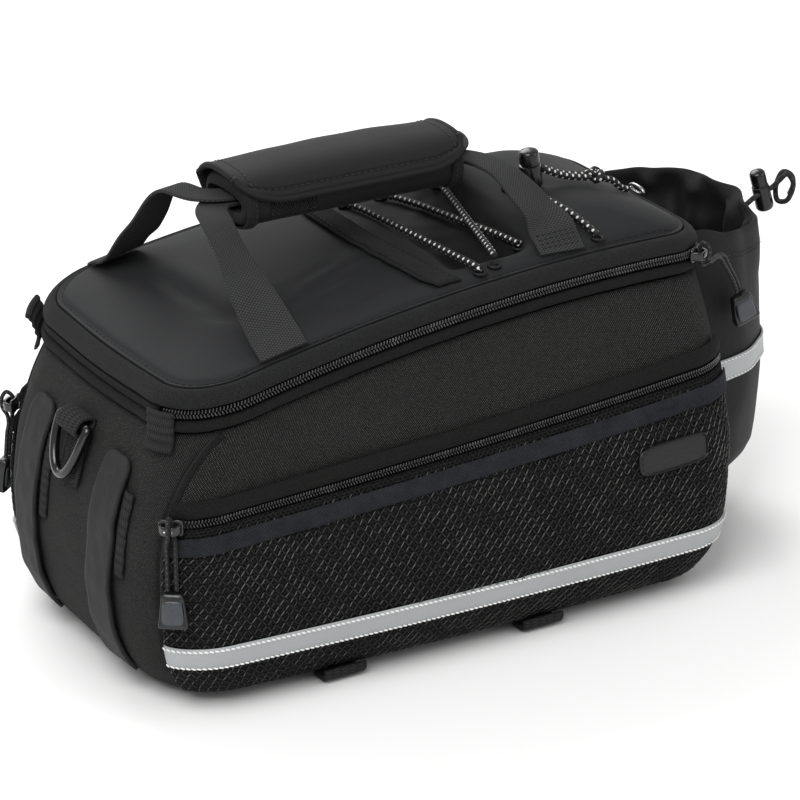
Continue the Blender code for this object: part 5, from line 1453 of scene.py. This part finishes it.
def makeHandle():
    start, stop = handle["front"], handle["rear"]
    rows = [handleSection(start + reach, -grow) for reach, grow in wrapRim]
    rows += [handleSection(start + 0.004 + (stop - start - 0.008) * k / 24, 0.0) for k in range(1, 24)]
    rows += [handleSection(stop - reach, -grow) for reach, grow in reversed(wrapRim)]
    slotSize = (web["width"] / 2 + 0.004, 2 * web["layer"] + 0.0016)
    bore = [handleSection(x, 0.0, *slotSize, seed=-1.0) for x in (stop, stop - 0.01, start + 0.01, start)]
    standFor(loftMesh("handleWrap", rows + bore, "handle", ring=True), "shell_cloth", "handle_wrap")
    rows = []
    for along in evenSteps(0.0, 1.0, 40):
        x = start - handle["overhang"] + (stop - start + 2 * handle["overhang"]) * along
        bend = max(0.0, (abs(2 * along - 1) - 1 + handle["cornerShare"]) / handle["cornerShare"])
        trim = math.radians(handle["cornerTurn"]) * (1 - math.sqrt(max(0.0, 1 - bend * bend)))
        crown = handle["crown"] * math.sin(math.pi * along)
        row = []
        first, last = math.radians(handle["from"]) + trim, math.radians(handle["to"]) - trim
        for k in range(41):
            turn = first + (last - first) * k / 40
            wavy = 0.0004 * ripple((x, math.cos(turn) * 0.02, math.sin(turn) * 0.02), 0.02, 5.0)
            grow = handle["flap"] - 0.0006 + crown + wavy
            edge = min(k, 40 - k) / 40
            grow -= 0.0008 * bump(edge, 0.075, 0.012) - 0.0006 * bump(edge, 0.03, 0.03)
            row.append(handlePoint(x, turn, grow, handle["halfWidth"], handle["halfHeight"],
                                   handle["fullAbove"]))
        rows.append(row)
    rolled = [row[-1] for row in rows] + rows[-1][-2::-1]
    rolled += [row[0] for row in rows[-2::-1]] + rows[0][1:-1]
    inward = [Vector((p.x + (0.0009 if p.x < 0 else -0.0009), p.y * 0.985, p.z - 0.0009)) for p in rolled]
    standFor(tubeMesh("flapEdge", inward, handle["flapRoll"], "handle", 12, closed=True), "shell_cloth")
    flap = sheetMesh("handleFlap", rows, "handle", thick=handle["flapThick"], middle=handleMiddle)
    soft = flap.modifiers.new("soft edge", "BEVEL")
    soft.width = 0.0007
    soft.segments = 2
    soft.limit_method = "ANGLE"
    standFor(flap, "shell_cloth", "handle_flap")
    spots = []
    lines = [[row[3] for row in rows[2:-2]], [row[37] for row in rows[2:-2]], rows[2][3:38], rows[-3][3:38]]
    for path in lines:
        path = [p + Vector((0, p.y, p.z - handleMiddle.z)).normalized() * 0.0002 for p in path]
        normals = [Vector((0, p.y, p.z - handleMiddle.z)) for p in path]
        spots += stitchSpots(path, normals, 0.003, 0.0022, 0.00022)
    sewOn("flapStitches", spots, "greyThread", "shell_cloth")
    fuzz = []
    for along in evenSteps(*handle["hookTape"], 34):
        row = []
        for k in range(13):
            turn = math.radians(handle["hookTurn"][0] + handle["hookTurn"][1] * k)
            grow = 0.0006 + 0.00045 * ripple((along, turn * 0.02, 0.0), 0.0013, 2.0)
            row.append(handlePoint(start + along, turn, grow, handle["halfWidth"], handle["halfHeight"]))
        fuzz.append(row)
    standFor(sheetMesh("hookTape", fuzz, "hooks", thick=0.0005, middle=handleMiddle), "shell_cloth")
    for label, edge, inwardStep in (("front", start, 1), ("rear", stop, -1)):
        # bound and stitched ends of the wrap
        rows = [handleSection(edge + inwardStep * reach, grow) for reach, grow in wrapBinding]
        standFor(sheetMesh("wrapBinding." + label, rows, "border", closed=True, thick=0.0004,
                           middle=handleMiddle), "shell_cloth")
        path = handleSection(edge + inwardStep * handle["bindingStitch"], 0.0014)
        normals = [Vector((0, p.y, p.z - handle["height"])) for p in path + path[:1]]
        spots = stitchSpots(path + path[:1], normals, 0.0026, 0.0018, 0.00022)
        sewOn("bindingStitches." + label, spots, "greyThread", "shell_cloth")


def lidEdge(x):
    front, rear = rimPoint(0.0, -grooveIn), rimPoint(1.0, -grooveIn)
    return -(front.y + (rear.y - front.y) * (x - front.x) / (rear.x - front.x))


webAnchors = {"near": (-0.2664 * bag["length"], 0.2203 * bag["length"]),
              "far": (-0.3007 * bag["length"], 0.2203 * bag["length"])}
webLeaves = [(0.0, 0.0), (0.006, 0.0006), (0.014, 0.0035)]  # distance from the edge, rise


def makeWebbing(label, side):
    height = handle["height"] + side * web["layer"]
    lift = 4 * room + web["thick"] / 2
    frontX, rearX = webAnchors[label]

    def leaving(x):
        edge = lidEdge(x) - 0.0006
        return [dropOn(lidTree, x, side * (edge - back), lift + rise) for back, rise in webLeaves]

    front, rear = leaving(frontX), leaving(rearX)[::-1]
    slope = 0.2216 * bag["width"]
    turn = web["turn"]
    route = front + [
        Vector(((frontX + foldFront) / 2, side * slope, (front[-1].z + height) / 2)),
        Vector((foldFront, side * (turn + 0.003), height - 0.0015)),
        Vector((foldFront + turn * 0.3, side * turn * 0.3, height)), Vector((foldFront + turn, 0.0, height)),
        Vector(((foldFront + foldRear) / 2, 0.0, height)), Vector((foldRear - turn, 0.0, height)),
        Vector((foldRear - turn * 0.3, side * turn * 0.3, height)),
        Vector((foldRear, side * (turn + 0.003), height - 0.0015)),
        Vector(((rearX + foldRear) / 2, side * slope, (rear[0].z + height) / 2))] + rear
    centres = smoothRun(route, 0.0022)
    halves = []
    for k, centre in enumerate(centres):
        heading = centres[min(k + 1, len(centres) - 1)] - centres[max(k - 1, 0)]
        # folded narrower where it goes into the handle
        gathered = 0.62 + 0.38 * ease(0.02, 0.05, abs(centre.y))
        half = Vector((heading.y, -heading.x, 0.0)).normalized() * (web["width"] / 2 * gathered)
        if abs(centre.y) > 0.042:
            fore, aft = dropOn(lidTree, *(centre + half).xy), dropOn(lidTree, *(centre - half).xy)
            half.z = (fore.z - aft.z) / 2 * ease(0.042, 0.054, abs(centre.y))
        halves.append(half)
    standFor(bandMesh("webbing." + label, centres, halves, web["thick"], "webbing"), "webbing",
             "webbing_" + label)
    # rows of stitches across the rear end
    spots = []
    for step in (2, 3, 4, 5):
        centre, half = centres[-step], halves[-step] * 0.86
        up = Vector((0, 0, web["thick"] / 2 + 0.0004))
        spots += stitchSpots([centre + half + up, centre - half + up], Vector((0, 0, 1)), 0.0026, 0.002,
                             0.00024)
    sewOn("webbingStitches." + label, spots, "darkThreadAndShade", "webbing")


makeHandle()
for webLabel, webSide in bothSides:
    makeWebbing(webLabel, webSide)
print("handle made")

# front wall

front = {"strapWidth": 0.019, "strapThick": 0.0024, "strapY": 0.0345, "strapTop": 0.106, "strapBottom": 0.01,
         "patchWidth": 0.007, "patchLength": 0.036, "patchDrop": 0.012,
         "strapFull": 0.0016, "strapCloth": 0.0018}
ring = {"width": 0.028, "height": 0.026, "wire": 0.0042, "top": 0.108, "webWidth": 0.018, "patch": 0.026}


def frontWall(y, height, out=0.0):
    reach = wallAtHeight(6.0, height).y
    point = wallAtHeight(6.0 + (reach - y) / (2 * reach), height, out)
    return Vector((point.x, y, height))


def makeFrontStrap(label, side):
    run = front["strapTop"] - front["strapBottom"]
    rows = []
    for k in range(61):
        share = k / 60
        share = 1 - (1 - share) ** 1.25
        height = front["strapBottom"] + run * share
        narrow = 0.45 + 0.55 * math.sqrt(max(0.0, 1 - max(0.0, (share - 0.93) / 0.07) ** 2))
        row = []
        for across in evenSteps(-1, 1, 17):
            y = side * front["strapY"] + across * narrow * front["strapWidth"] / 2
            y += 0.0006 * ripple((across * 0.01, 0.0, height), 0.013, 12.0)
            wavy = 0.0006 * ripple((0.0, 0.0, height), 0.012, 3 + side)
            wavy += 0.0004 * ripple((y, 0.0, height), 0.007, 3 + side)
            out = room * 2 + front["strapThick"] * 0.8 + wavy
            out += front["strapFull"] * math.sin(math.pi * min(share * 1.05, 1.0)) ** 0.6
            row.append(frontWall(y, height, out))
        rows.append(row)
    strap = sheetMesh("frontStrap." + label, rows, "strap", thick=front["strapCloth"])
    standFor(strap, "shell_cloth", "front_strap_" + label)
    rows = []
    start = side * front["strapY"] - front["strapWidth"] / 2 - 0.0006
    for k in range(33):
        height = front["strapTop"] - front["patchDrop"] - front["patchLength"] * k / 32
        row = []
        for j in range(9):
            y = start - front["patchWidth"] * j / 8
            puff = 0.0005 * math.sin(math.pi * j / 8) + 0.0002 * math.sin(2 * math.pi * k / 2.6)
            row.append(frontWall(y, height, room * 2 + 0.0008 + puff))
        rows.append(row)
    standFor(sheetMesh("strapPatch." + label, rows, "patch", thick=0.0009), "webbing", "strap_patch_" + label)


ringOut = room * 7 + web["thick"] + ring["wire"] / 2


def makeRing():
    barHalf = ring["width"] / 2 - ring["wire"] / 2
    reach = ring["height"] - ring["wire"]
    path = [frontWall(barHalf * (1 - k / 6), ring["top"], ringOut) for k in range(13)]
    for k in range(1, 40):
        turn = math.pi * k / 40
        drop = reach * math.sin(turn) ** 1.15
        path.append(frontWall(-barHalf * math.cos(turn), ring["top"] - drop, ringOut + 0.0005))
    path = smoothRun(path, count=96, closed=True)[:-1]
    standFor(tubeMesh("dRing", path, ring["wire"] / 2, "ring", 14, closed=True, hint=Vector((-1, 0, 0))),
             "hard_plastic", "d_ring")
    lift = web["thick"] / 2 + 3 * room
    bend = ring["wire"] / 2 + 3 * room + web["thick"] / 2
    places = [(lift, up) for up in (-ring["patch"], -ring["patch"] / 2, -ring["wire"], bend * 0.6)]
    for k in range(1, 6):
        turn = math.radians(120 - 50 * k)
        places.append((ringOut + bend * math.cos(turn), bend * math.sin(turn)))
    centres = smoothRun([frontWall(0.0, ring["top"] + up, out) for out, up in places], 0.0012)
    halves = [Vector((0, ring["webWidth"] / 2, 0))] * len(centres)
    standFor(bandMesh("ringWebbing", centres, halves, web["thick"], "patch"), "webbing", "ring_webbing")
    spots = []
    corners = [(-0.0075, -0.024), (0.0075, -0.024), (0.0075, -0.0115), (-0.0075, -0.0115), (-0.0075, -0.024)]
    crossed = [(corners[0], corners[2]), (corners[1], corners[3])]
    for pair in list(zip(corners, corners[1:])) + crossed:
        ends = [frontWall(y, ring["top"] + z, lift + web["thick"] / 2 + 0.0002) for y, z in pair]
        spots += stitchSpots(ends, Vector((-1, 0, 0.2)), 0.0025, 0.0018, 0.00022)
    sewOn("ringStitches", spots, "greyThread", "webbing")


tab = {"reach": 0.14, "drop": 0.006, "curl": 0.0016, "standsAway": 0.0042, "cloth": 0.0013, "fold": 0.0012}


def makeZipTab(label, middlePlace):
    # webbing tab with its loose end folded, over the end of the zip
    stand = bag["piping"] + 2 * room
    low = -bag["coil"] / 2 - 2 * bag["piping"] - tab["drop"]
    rows = []
    for k in range(29):
        share = k / 28
        rise = low + (bag["coil"] / 2 - low) * share
        curl = tab["curl"] * bump(share, 0.0, 0.16) + 0.0003 * math.sin(share * 30)
        if label == "far":  # this one stands away at its upper end
            curl += tab["standsAway"] * share ** 2
            rise += 0.0008 * share
        rows.append([rimPoint(middlePlace + tab["reach"] * (2 * j / 12 - 1), stand + 0.0008 + curl, rise)
                     for j in range(13)])
    loose = (rows[-1], rows[-2]) if label == "far" else (rows[0], rows[1])
    folded = [p.lerp(q, 0.08) for p, q in zip(*loose)]
    standFor(tubeMesh("tabFold." + label, folded, tab["fold"], "patch", 10), "webbing")
    standFor(sheetMesh("zipTab." + label, rows, "patch", thick=tab["cloth"]), "webbing", "zip_tab_" + label)


bottomLoop = {"front": -0.1906 * bag["length"], "rear": 0.1486 * bag["length"], "halfWidth": 0.01,
              "thick": 0.0021,
              "route": [(0.0008, 0.0), (0.006, 0.0), (0.0088, 0.0006), (0.0104, 0.0028), (0.0102, 0.005)]}


def makeBottomLoop(label, x, side):
    along = (x + bag["length"] / 2 - bag["cornerFront"]) / sideRun
    edge = -wallPoint(along, 0.02).y
    floor = 2 * room + 0.0011
    route = [Vector((x, side * (edge + out), floor + up)) for out, up in bottomLoop["route"]]
    centres = smoothRun(route, 0.0008)
    halves = [Vector((bottomLoop["halfWidth"], 0, 0))] * len(centres)
    standFor(bandMesh("bottomLoop." + label, centres, halves, bottomLoop["thick"], "patch"), "padded_twill",
             "bottom_loop_" + label)


for strapLabel, strapSide in bothSides:
    makeFrontStrap(strapLabel, strapSide)
    for spotLabel in ("front", "rear"):
        makeBottomLoop(spotLabel + "_" + strapLabel, bottomLoop[spotLabel], strapSide)
makeRing()
makeZipTab("near", rim["zipStart"])
makeZipTab("far", rim["zipEnd"])
print("front made")

# zip pulls; the cord routes are in metres

pullRoutes = {
    "near": [(-0.13593, -0.07686, 0.06107), (-0.13576, -0.0764, 0.0653), (-0.13557, -0.07593, 0.06953),
             (-0.13536, -0.07544, 0.07375), (-0.13493, -0.07455, 0.07789), (-0.1351, -0.07518, 0.08185),
             (-0.13613, -0.07789, 0.08486), (-0.13614, -0.07798, 0.08909), (-0.13469, -0.07621, 0.09241),
             (-0.1326, -0.07445, 0.09052), (-0.13229, -0.07505, 0.08632), (-0.13201, -0.07625, 0.08225),
             (-0.13223, -0.0771, 0.0781), (-0.13256, -0.07771, 0.0739), (-0.13277, -0.0782, 0.06968),
             (-0.13296, -0.07867, 0.06545), (-0.13313, -0.07913, 0.06122)],
    "main": [(0.159, -0.0545, 0.124), (0.15738, -0.05506, 0.1278), (0.15536, -0.05583, 0.13136),
             (0.15309, -0.05671, 0.13474), (0.15073, -0.05768, 0.13803), (0.14838, -0.05873, 0.14131),
             (0.14595, -0.0599, 0.14448), (0.14283, -0.06172, 0.14645), (0.13936, -0.06397, 0.1469),
             (0.13589, -0.06627, 0.14715), (0.13367, -0.06776, 0.14955), (0.13465, -0.06687, 0.15348),
             (0.13303, -0.06413, 0.15582), (0.13231, -0.0628, 0.1524), (0.13228, -0.06312, 0.14827),
             (0.13379, -0.06307, 0.14504), (0.13776, -0.06187, 0.14526), (0.14169, -0.06061, 0.14582),
             (0.14563, -0.05929, 0.14601), (0.14911, -0.05787, 0.1444), (0.15137, -0.05662, 0.14114),
             (0.1536, -0.05552, 0.13781), (0.15597, -0.05455, 0.13452), (0.15823, -0.05366, 0.13114),
             (0.16025, -0.0529, 0.12758), (0.16188, -0.05234, 0.12378)],
}
pullRoutes["far"] = [(x, -y, z) for x, y, z in pullRoutes["near"]]
gripShape = {"length": 0.015, "width": 0.0125, "thick": 0.0052}
gripRows = [(0.0, 0.28, 0.28), (0.02, 0.33, 0.38), (0.1, 0.37, 0.46), (0.22, 0.395, 0.43), (0.4, 0.425, 0.4),
            (0.6, 0.455, 0.41), (0.78, 0.48, 0.44), (0.9, 0.5, 0.49), (0.96, 0.5, 0.5), (0.985, 0.48, 0.46),
            (1.0, 0.43, 0.36)]


def boxyTurn(turn, power=0.35):
    return fuller(math.cos(turn), power), fuller(math.sin(turn), power)


def makeGrip(label, top, axes):
    across, outward, down = axes
    rows = []
    for share, halfWidth, halfThick in gripRows:
        row = []
        for turn in circleSteps(40, 0.5):
            x, y = boxyTurn(turn)
            hollow = 0.0
            inner = max(0.0, 1 - abs(x) / 0.78) ** 0.3 if abs(x) < 0.78 else 0.0
            if 0.15 < share < 0.88:
                hollow = -0.00055 * bump(abs(x), 0.8, 0.1) + 0.00035 * inner
            out = y * (halfThick * gripShape["thick"] + hollow)
            row.append(top + across * (x * halfWidth * gripShape["width"]) + outward * out
                       + down * (share * gripShape["length"]))
        rows.append(row)
    for turned in (1, -1):
        panel = []
        for share, height in ((1.0, 0.0), (0.97, 0.5), (0.88, 0.95), (0.8, 1.0), (0.5, 1.0), (0.2, 1.0)):
            row = []
            for turn in circleSteps(40):
                x, y = boxyTurn(turn, 0.4)
                downShare = 0.54 + 0.36 * y * share
                halfWidth = (0.385 + 0.09 * downShare) * 0.82
                out = turned * (gripShape["thick"] * 0.395 + 0.0007 * height)
                row.append(top + across * (x * share * halfWidth * gripShape["width"]) + outward * out
                           + down * (downShare * gripShape["length"]))
            panel.append(row)
        standFor(loftMesh("gripPanel." + label, panel, "gripPanel", sharp=50), "grip_plastic")
    return standFor(loftMesh("pullGrip." + label, rows, "grip", sharp=45), "grip_plastic", "grip_" + label)


slider = {"halfLength": 0.0052, "width": 0.0074, "lift": 0.0004, "halfThick": 0.0008, "bridgeHalf": 0.0019,
          "bridgeThick": 0.0012, "pin": 0.0006, "pinRise": 0.005}
# share of the length, width and thickness of the body; the bridge's arch, along and outward
sliderRows = [(-1.0, 0.3, 0.5), (-0.92, 0.4, 0.9), (-0.6, 0.47, 1.0), (0.0, 0.4, 1.0), (0.6, 0.5, 1.0),
              (0.9, 0.46, 0.9), (1.0, 0.36, 0.5)]
sliderArch = [(-0.0042, 0.001), (-0.0036, 0.0032), (-0.0018, 0.0046), (0.0018, 0.0046), (0.0036, 0.0032),
              (0.0042, 0.001)]


def makeSlider(label, origin, axes):
    # slider body over the teeth, bridge and its bright pin
    along, outward, down = axes
    rows = []
    for share, width, high in sliderRows:
        row = []
        for turn in circleSteps(20, 0.5):
            x, y = boxyTurn(turn, 0.5)
            row.append(origin + along * (share * slider["halfLength"]) + down * (x * width * slider["width"])
                       + outward * (slider["lift"] + y * slider["halfThick"] * high))
        rows.append(row)
    standFor(loftMesh("sliderBody." + label, rows, "slider"), "coated_metal", "slider_" + label)
    path = smoothRun([origin + along * a + outward * o for a, o in sliderArch], count=26)
    halves = [down * slider["bridgeHalf"]] * len(path)
    standFor(bandMesh("sliderBridge." + label, path, halves, slider["bridgeThick"], "slider"), "coated_metal")
    pin = [origin + outward * slider["pinRise"] + along * a + down * 0.0002
           for a in (-0.0019, -0.0006, 0.0006, 0.0019)]
    standFor(tubeMesh("sliderPin." + label, pin, slider["pin"], "pin", 10), "coated_metal")


def cadCentre(node):
    low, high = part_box(node)
    return (Vector(low) + Vector(high)) / 2


def makePull(label, side):
    route = [Vector(p) for p in pullRoutes[label]]
    path = smoothRun(route, 0.0009)
    cord = tubeMesh("pullCord." + label, path, 0.0009, "pullCord", 10)
    standFor(cord, "elastic_cord", "pull_cord_" + label)
    centre = cadCentre("slider_" + label)
    if label == "main":
        origin = rimPoint(1.375, 0.0021)
        along = (rimPoint(1.475, 0.0026) - rimPoint(1.275, 0.0026)).normalized()
    else:
        place = pocket["first"] + 0.04
        height = pocketHeight(place, 1.0) + room + pocket["coil"]
        rest = 2 * room + 2 * pocket["coil"]
        origin = pocketPoint(place, height, side, rest, bulge=False)
        ahead = pocketPoint(place + 0.05, pocketHeight(place + 0.05, 1.0), side, rest, bulge=False)
        behind = pocketPoint(place - 0.05, pocketHeight(place - 0.05, 1.0), side, rest, bulge=False)
        along = (ahead - behind).normalized()
    outward = along.cross(Vector((0, 0, 1))).normalized()
    if outward.dot(centre - bagMiddle) < 0:
        outward = -outward
    down = along.cross(outward)
    if down.z > 0:
        down = -down
    makeSlider(label, origin, (along, outward, down))
    lean = ((route[0] - route[1]) + (route[-1] - route[-2])).normalized()
    across = (route[-1] - route[0])
    across = (across - lean * across.dot(lean)).normalized()
    if label == "main":
        across = (across.lerp(Vector((0.86, -0.51, 0.0)), 0.6))
        across = (across - lean * across.dot(lean)).normalized()
    face = lean.cross(across)
    top = (route[0] + route[-1]) / 2 + lean * (room * 2)
    drift = cadCentre("grip_" + label) - (top + lean * gripShape["length"] / 2)
    grip = makeGrip(label, top + drift * 0.9, (across, face, lean))


for pullLabel, pullSide in (*bothSides, ("main", -1)):
    makePull(pullLabel, pullSide)
print("zip pulls made")

# elastic lacing on the lid

lacing = {"diameter": 0.003, "lift": 0.0006, "eyelet": 0.0024, "knotSize": 0.004, "lockLength": 0.017,
          "lockRadius": 0.005,
          "runs": [("one", 0.0245, 0.1617, 0.0759, -0.3653, 0.0),
                   ("two", 0.1178, 0.2515, 0.1748, -0.2814, 0.17),
                   ("three", 0.1818, 0.1497, 0.1049, -0.3533, 0.97),
                   ("four", 0.2343, -0.0635, 0.2888, -0.3443, 0.0)],
          "lock": (0.2692, -0.0838), "end": (0.4371, -0.1048)}


def onLid(spot):
    return spot[0] * bag["length"], spot[1] * bag["width"]


def tautRun(start, end, lift):
    spots = []
    for k in range(41):
        x, y = (a + (b - a) * k / 40 for a, b in zip(start, end))
        spots.append(dropOn(lidTree, x, y, lift))
    hull = []
    for k, spot in enumerate(spots):
        while len(hull) > 1:
            (i, a), (j, b) = hull[-2], hull[-1]
            if (b.z - a.z) * (k - i) <= (spot.z - a.z) * (j - i):
                hull.pop()
            else:
                break
        hull.append((k, spot))
    return evenRun([spot for _, spot in hull], 0.0012)


def makeLatheRows(foot, axis, profile, sides=28):
    axis = axis.normalized()
    across = axis.orthogonal().normalized()
    side = axis.cross(across)
    return [[foot + axis * along + (across * math.cos(turn) + side * math.sin(turn)) * radius
             for turn in circleSteps(sides)] for along, radius in profile]


barrelShape = [(0.0, 0.8), (0.01, 0.86), (0.05, 0.98), (0.1, 1.0), (0.56, 0.97), (0.6, 0.94), (0.62, 0.8),
               (0.65, 0.8), (0.67, 0.88), (0.9, 0.88), (0.95, 0.84), (0.985, 0.74), (1.0, 0.6)]


def makeBarrel(name, foot, axis, length, radius, slot, node):
    rows = makeLatheRows(foot, axis, [(length * a, radius * r) for a, r in barrelShape])
    return standFor(loftMesh(name, rows, "lock", sharp=40, softEnds=True), slot, node)


def knotPath(centre, size):
    return [centre + Vector((math.sin(t) + 2 * math.sin(2 * t), math.cos(t) - 2 * math.cos(2 * t),
                             -1.15 * math.sin(3 * t))) * (size / 3) for t in circleSteps(72)]


def makeLacing():
    radius = lacing["diameter"] / 2
    ends = []
    for label, x0, y0, x1, y1, raised in lacing["runs"]:
        start, end = onLid((x0, y0)), onLid((x1, y1))
        path = tautRun(start, end, radius + lacing["lift"] + raised * lacing["diameter"])
        cord = tubeMesh("bungee." + label, path, radius, "bungee", 12)
        standFor(cord, "elastic_cord", "bungee_" + label)
        ends += [path[0], path[-1]]
    for k, end in enumerate(ends):
        # sewn eyelet where each run goes through the lid
        low = dropOn(lidTree, end.x, end.y, 0.0006)
        loop = [low + Vector((math.cos(turn), math.sin(turn), 0)) * lacing["eyelet"]
                for turn in circleSteps(20)]
        standFor(tubeMesh("eyelet." + str(k + 1), loop, 0.0007, "darkThreadAndShade", 8, closed=True), "shell_cloth")
    foot = dropOn(lidTree, *onLid(lacing["lock"]), 2 * room)
    makeBarrel("lacingLock", foot, Vector((-0.12, 0.0, 1.0)), lacing["lockLength"], lacing["lockRadius"],
               "hard_plastic", "bungee_lock")
    knot = cadCentre("bungee_knot")
    anchor = cadCentre("lace_anchor")
    toward = Vector((knot.x - foot.x, knot.y - foot.y, 0.0)).normalized()
    across = Vector((-toward.y, toward.x, 0.0))
    for label, offset in (("near", -0.0017), ("far", 0.0017)):
        start = foot + toward * 0.0045 + across * offset + Vector((0, 0, lacing["lockLength"] * 0.45))
        stop = knot - toward * 0.004 + across * offset
        path = smoothRun([start, start.lerp(stop, 0.5) - Vector((0, 0, 0.0012)), stop], 0.0012)
        standFor(tubeMesh("bungeeTail." + label, path, radius, "bungee", 12), "elastic_cord",
                 "bungee_tail_" + label)
    standFor(tubeMesh("bungeeKnot", knotPath(knot, lacing["knotSize"]), 0.0014, "bungee", 10, closed=True),
             "elastic_cord", "bungee_knot")
    end = dropOn(lidTree, *onLid(lacing["end"]), radius + lacing["lift"])
    leave = (end - knot).normalized()
    start = knot + leave * 0.0046
    way = [dropOn(lidTree, *start.lerp(end, share).xy, radius + lacing["lift"]) for share in (0.4, 0.7)]
    way[0].z = max(way[0].z, (start.z + way[0].z) / 2)
    standFor(tubeMesh("bungeeEnd", smoothRun([start] + way + [end], 0.0012), radius, "bungee", 12),
             "elastic_cord", "bungee_end")
    loop = [anchor + Vector((0.0, math.cos(turn) * 0.005, math.sin(turn) * 0.0016)) for turn in circleSteps(32)]
    standFor(tubeMesh("laceRing", loop, 0.0008, "metal", 10, closed=True), "plated_ring", "lace_anchor")


makeLacing()

drawRoute = [(0.21303, -0.00382, 0.147), (0.21608, -0.00533, 0.15045), (0.21874, -0.00731, 0.15349),
             (0.22106, -0.00898, 0.1498), (0.22042, -0.00904, 0.14502), (0.21839, -0.00794, 0.14087),
             (0.21629, -0.00423, 0.14025), (0.21681, -0.0016, 0.14401), (0.21795, -0.00125, 0.1487),
             (0.22054, -0.00186, 0.1527), (0.22344, -0.00448, 0.15112), (0.22401, -0.00507, 0.14659),
             (0.22315, -0.00375, 0.142)]


pouchLock = {"length": 0.0195, "radius": 0.0042, "turn": -18, "lean": -0.26, "leanOut": 0.04}


def makeDrawCord():
    turn, length = math.radians(pouchLock["turn"]), pouchLock["length"]
    out = Vector((math.cos(turn), math.sin(turn), 0.0))
    axis = (Vector((pouchLock["lean"], 0.0, 1.0)) - out * pouchLock["leanOut"]).normalized()
    foot = cadCentre("pouch_lock") - axis * length / 2
    lock = makeBarrel("pouchLock", foot, axis, length, pouchLock["radius"], "hard_plastic", "pouch_lock")
    hem = pouchRing(0.94)[pouch["steps"] // 2 - 2]
    start = Vector(drawRoute[0])
    link = [hem.lerp(start, share) + Vector((0, 0, 0.001)) for share in (0.35, 0.7)]
    path = smoothRun([hem] + link + drawRoute, 0.001)
    cord = tubeMesh("drawCord", path, 0.0012, "blackCord", 12)
    standFor(cord, "elastic_cord", "pouch_cord")


makeDrawCord()
print("lacing and cords made")

# floor and light

studio = {"floorColour": (0.92, 0.92, 0.915), "floorSize": 6.0, "world": 0.52}
lights = [
    {"name": "keyLight", "place": (-0.9, -0.7, 1.5), "aim": (0.0, 0.0, 0.1), "size": 1.1, "power": 19},
    {"name": "fillLight", "place": (1.3, -1.3, 0.9), "aim": (0.0, 0.0, 0.1), "size": 1.4, "power": 5},
    {"name": "backLight", "place": (0.2, 1.4, 1.3), "aim": (0.0, 0.0, 0.12), "size": 1.2, "power": 14},
]


def makeStudio():
    mesh = bpy.data.meshes.new("floor")
    size = studio["floorSize"]
    mesh.from_pydata([(x * size, y * size, -room) for x, y in ((-1, -1), (1, -1), (1, 1), (-1, 1))], [],
                     [(0, 1, 2, 3)])
    floor = bpy.data.objects.new("floor", mesh)
    bpy.context.collection.objects.link(floor)
    paper = bpy.data.materials.new("floorPaper")
    paper.use_nodes = True
    shader = paper.node_tree.nodes["Principled BSDF"]
    shader.inputs["Base Color"].default_value = (*studio["floorColour"], 1)
    shader.inputs["Roughness"].default_value = 0.9
    mesh.materials.append(paper)
    world = bpy.data.worlds.new("studio")
    world.use_nodes = True
    world.node_tree.nodes["Background"].inputs[0].default_value = (1, 1, 1, 1)
    world.node_tree.nodes["Background"].inputs[1].default_value = studio["world"]
    bpy.context.scene.world = world
    for light in lights:
        data = bpy.data.lights.new(light["name"], "AREA")
        data.size = light["size"]
        data.energy = light["power"]
        lamp = bpy.data.objects.new(light["name"], data)
        lamp.location = light["place"]
        away = Vector(light["place"]) - Vector(light["aim"])
        lamp.rotation_euler = away.to_track_quat("Z", "Y").to_euler()
        bpy.context.collection.objects.link(lamp)
    bpy.context.scene.view_settings.view_transform = "Standard"
    bpy.context.scene.view_settings.look = "Medium High Contrast"


makeStudio()
print("studio made")
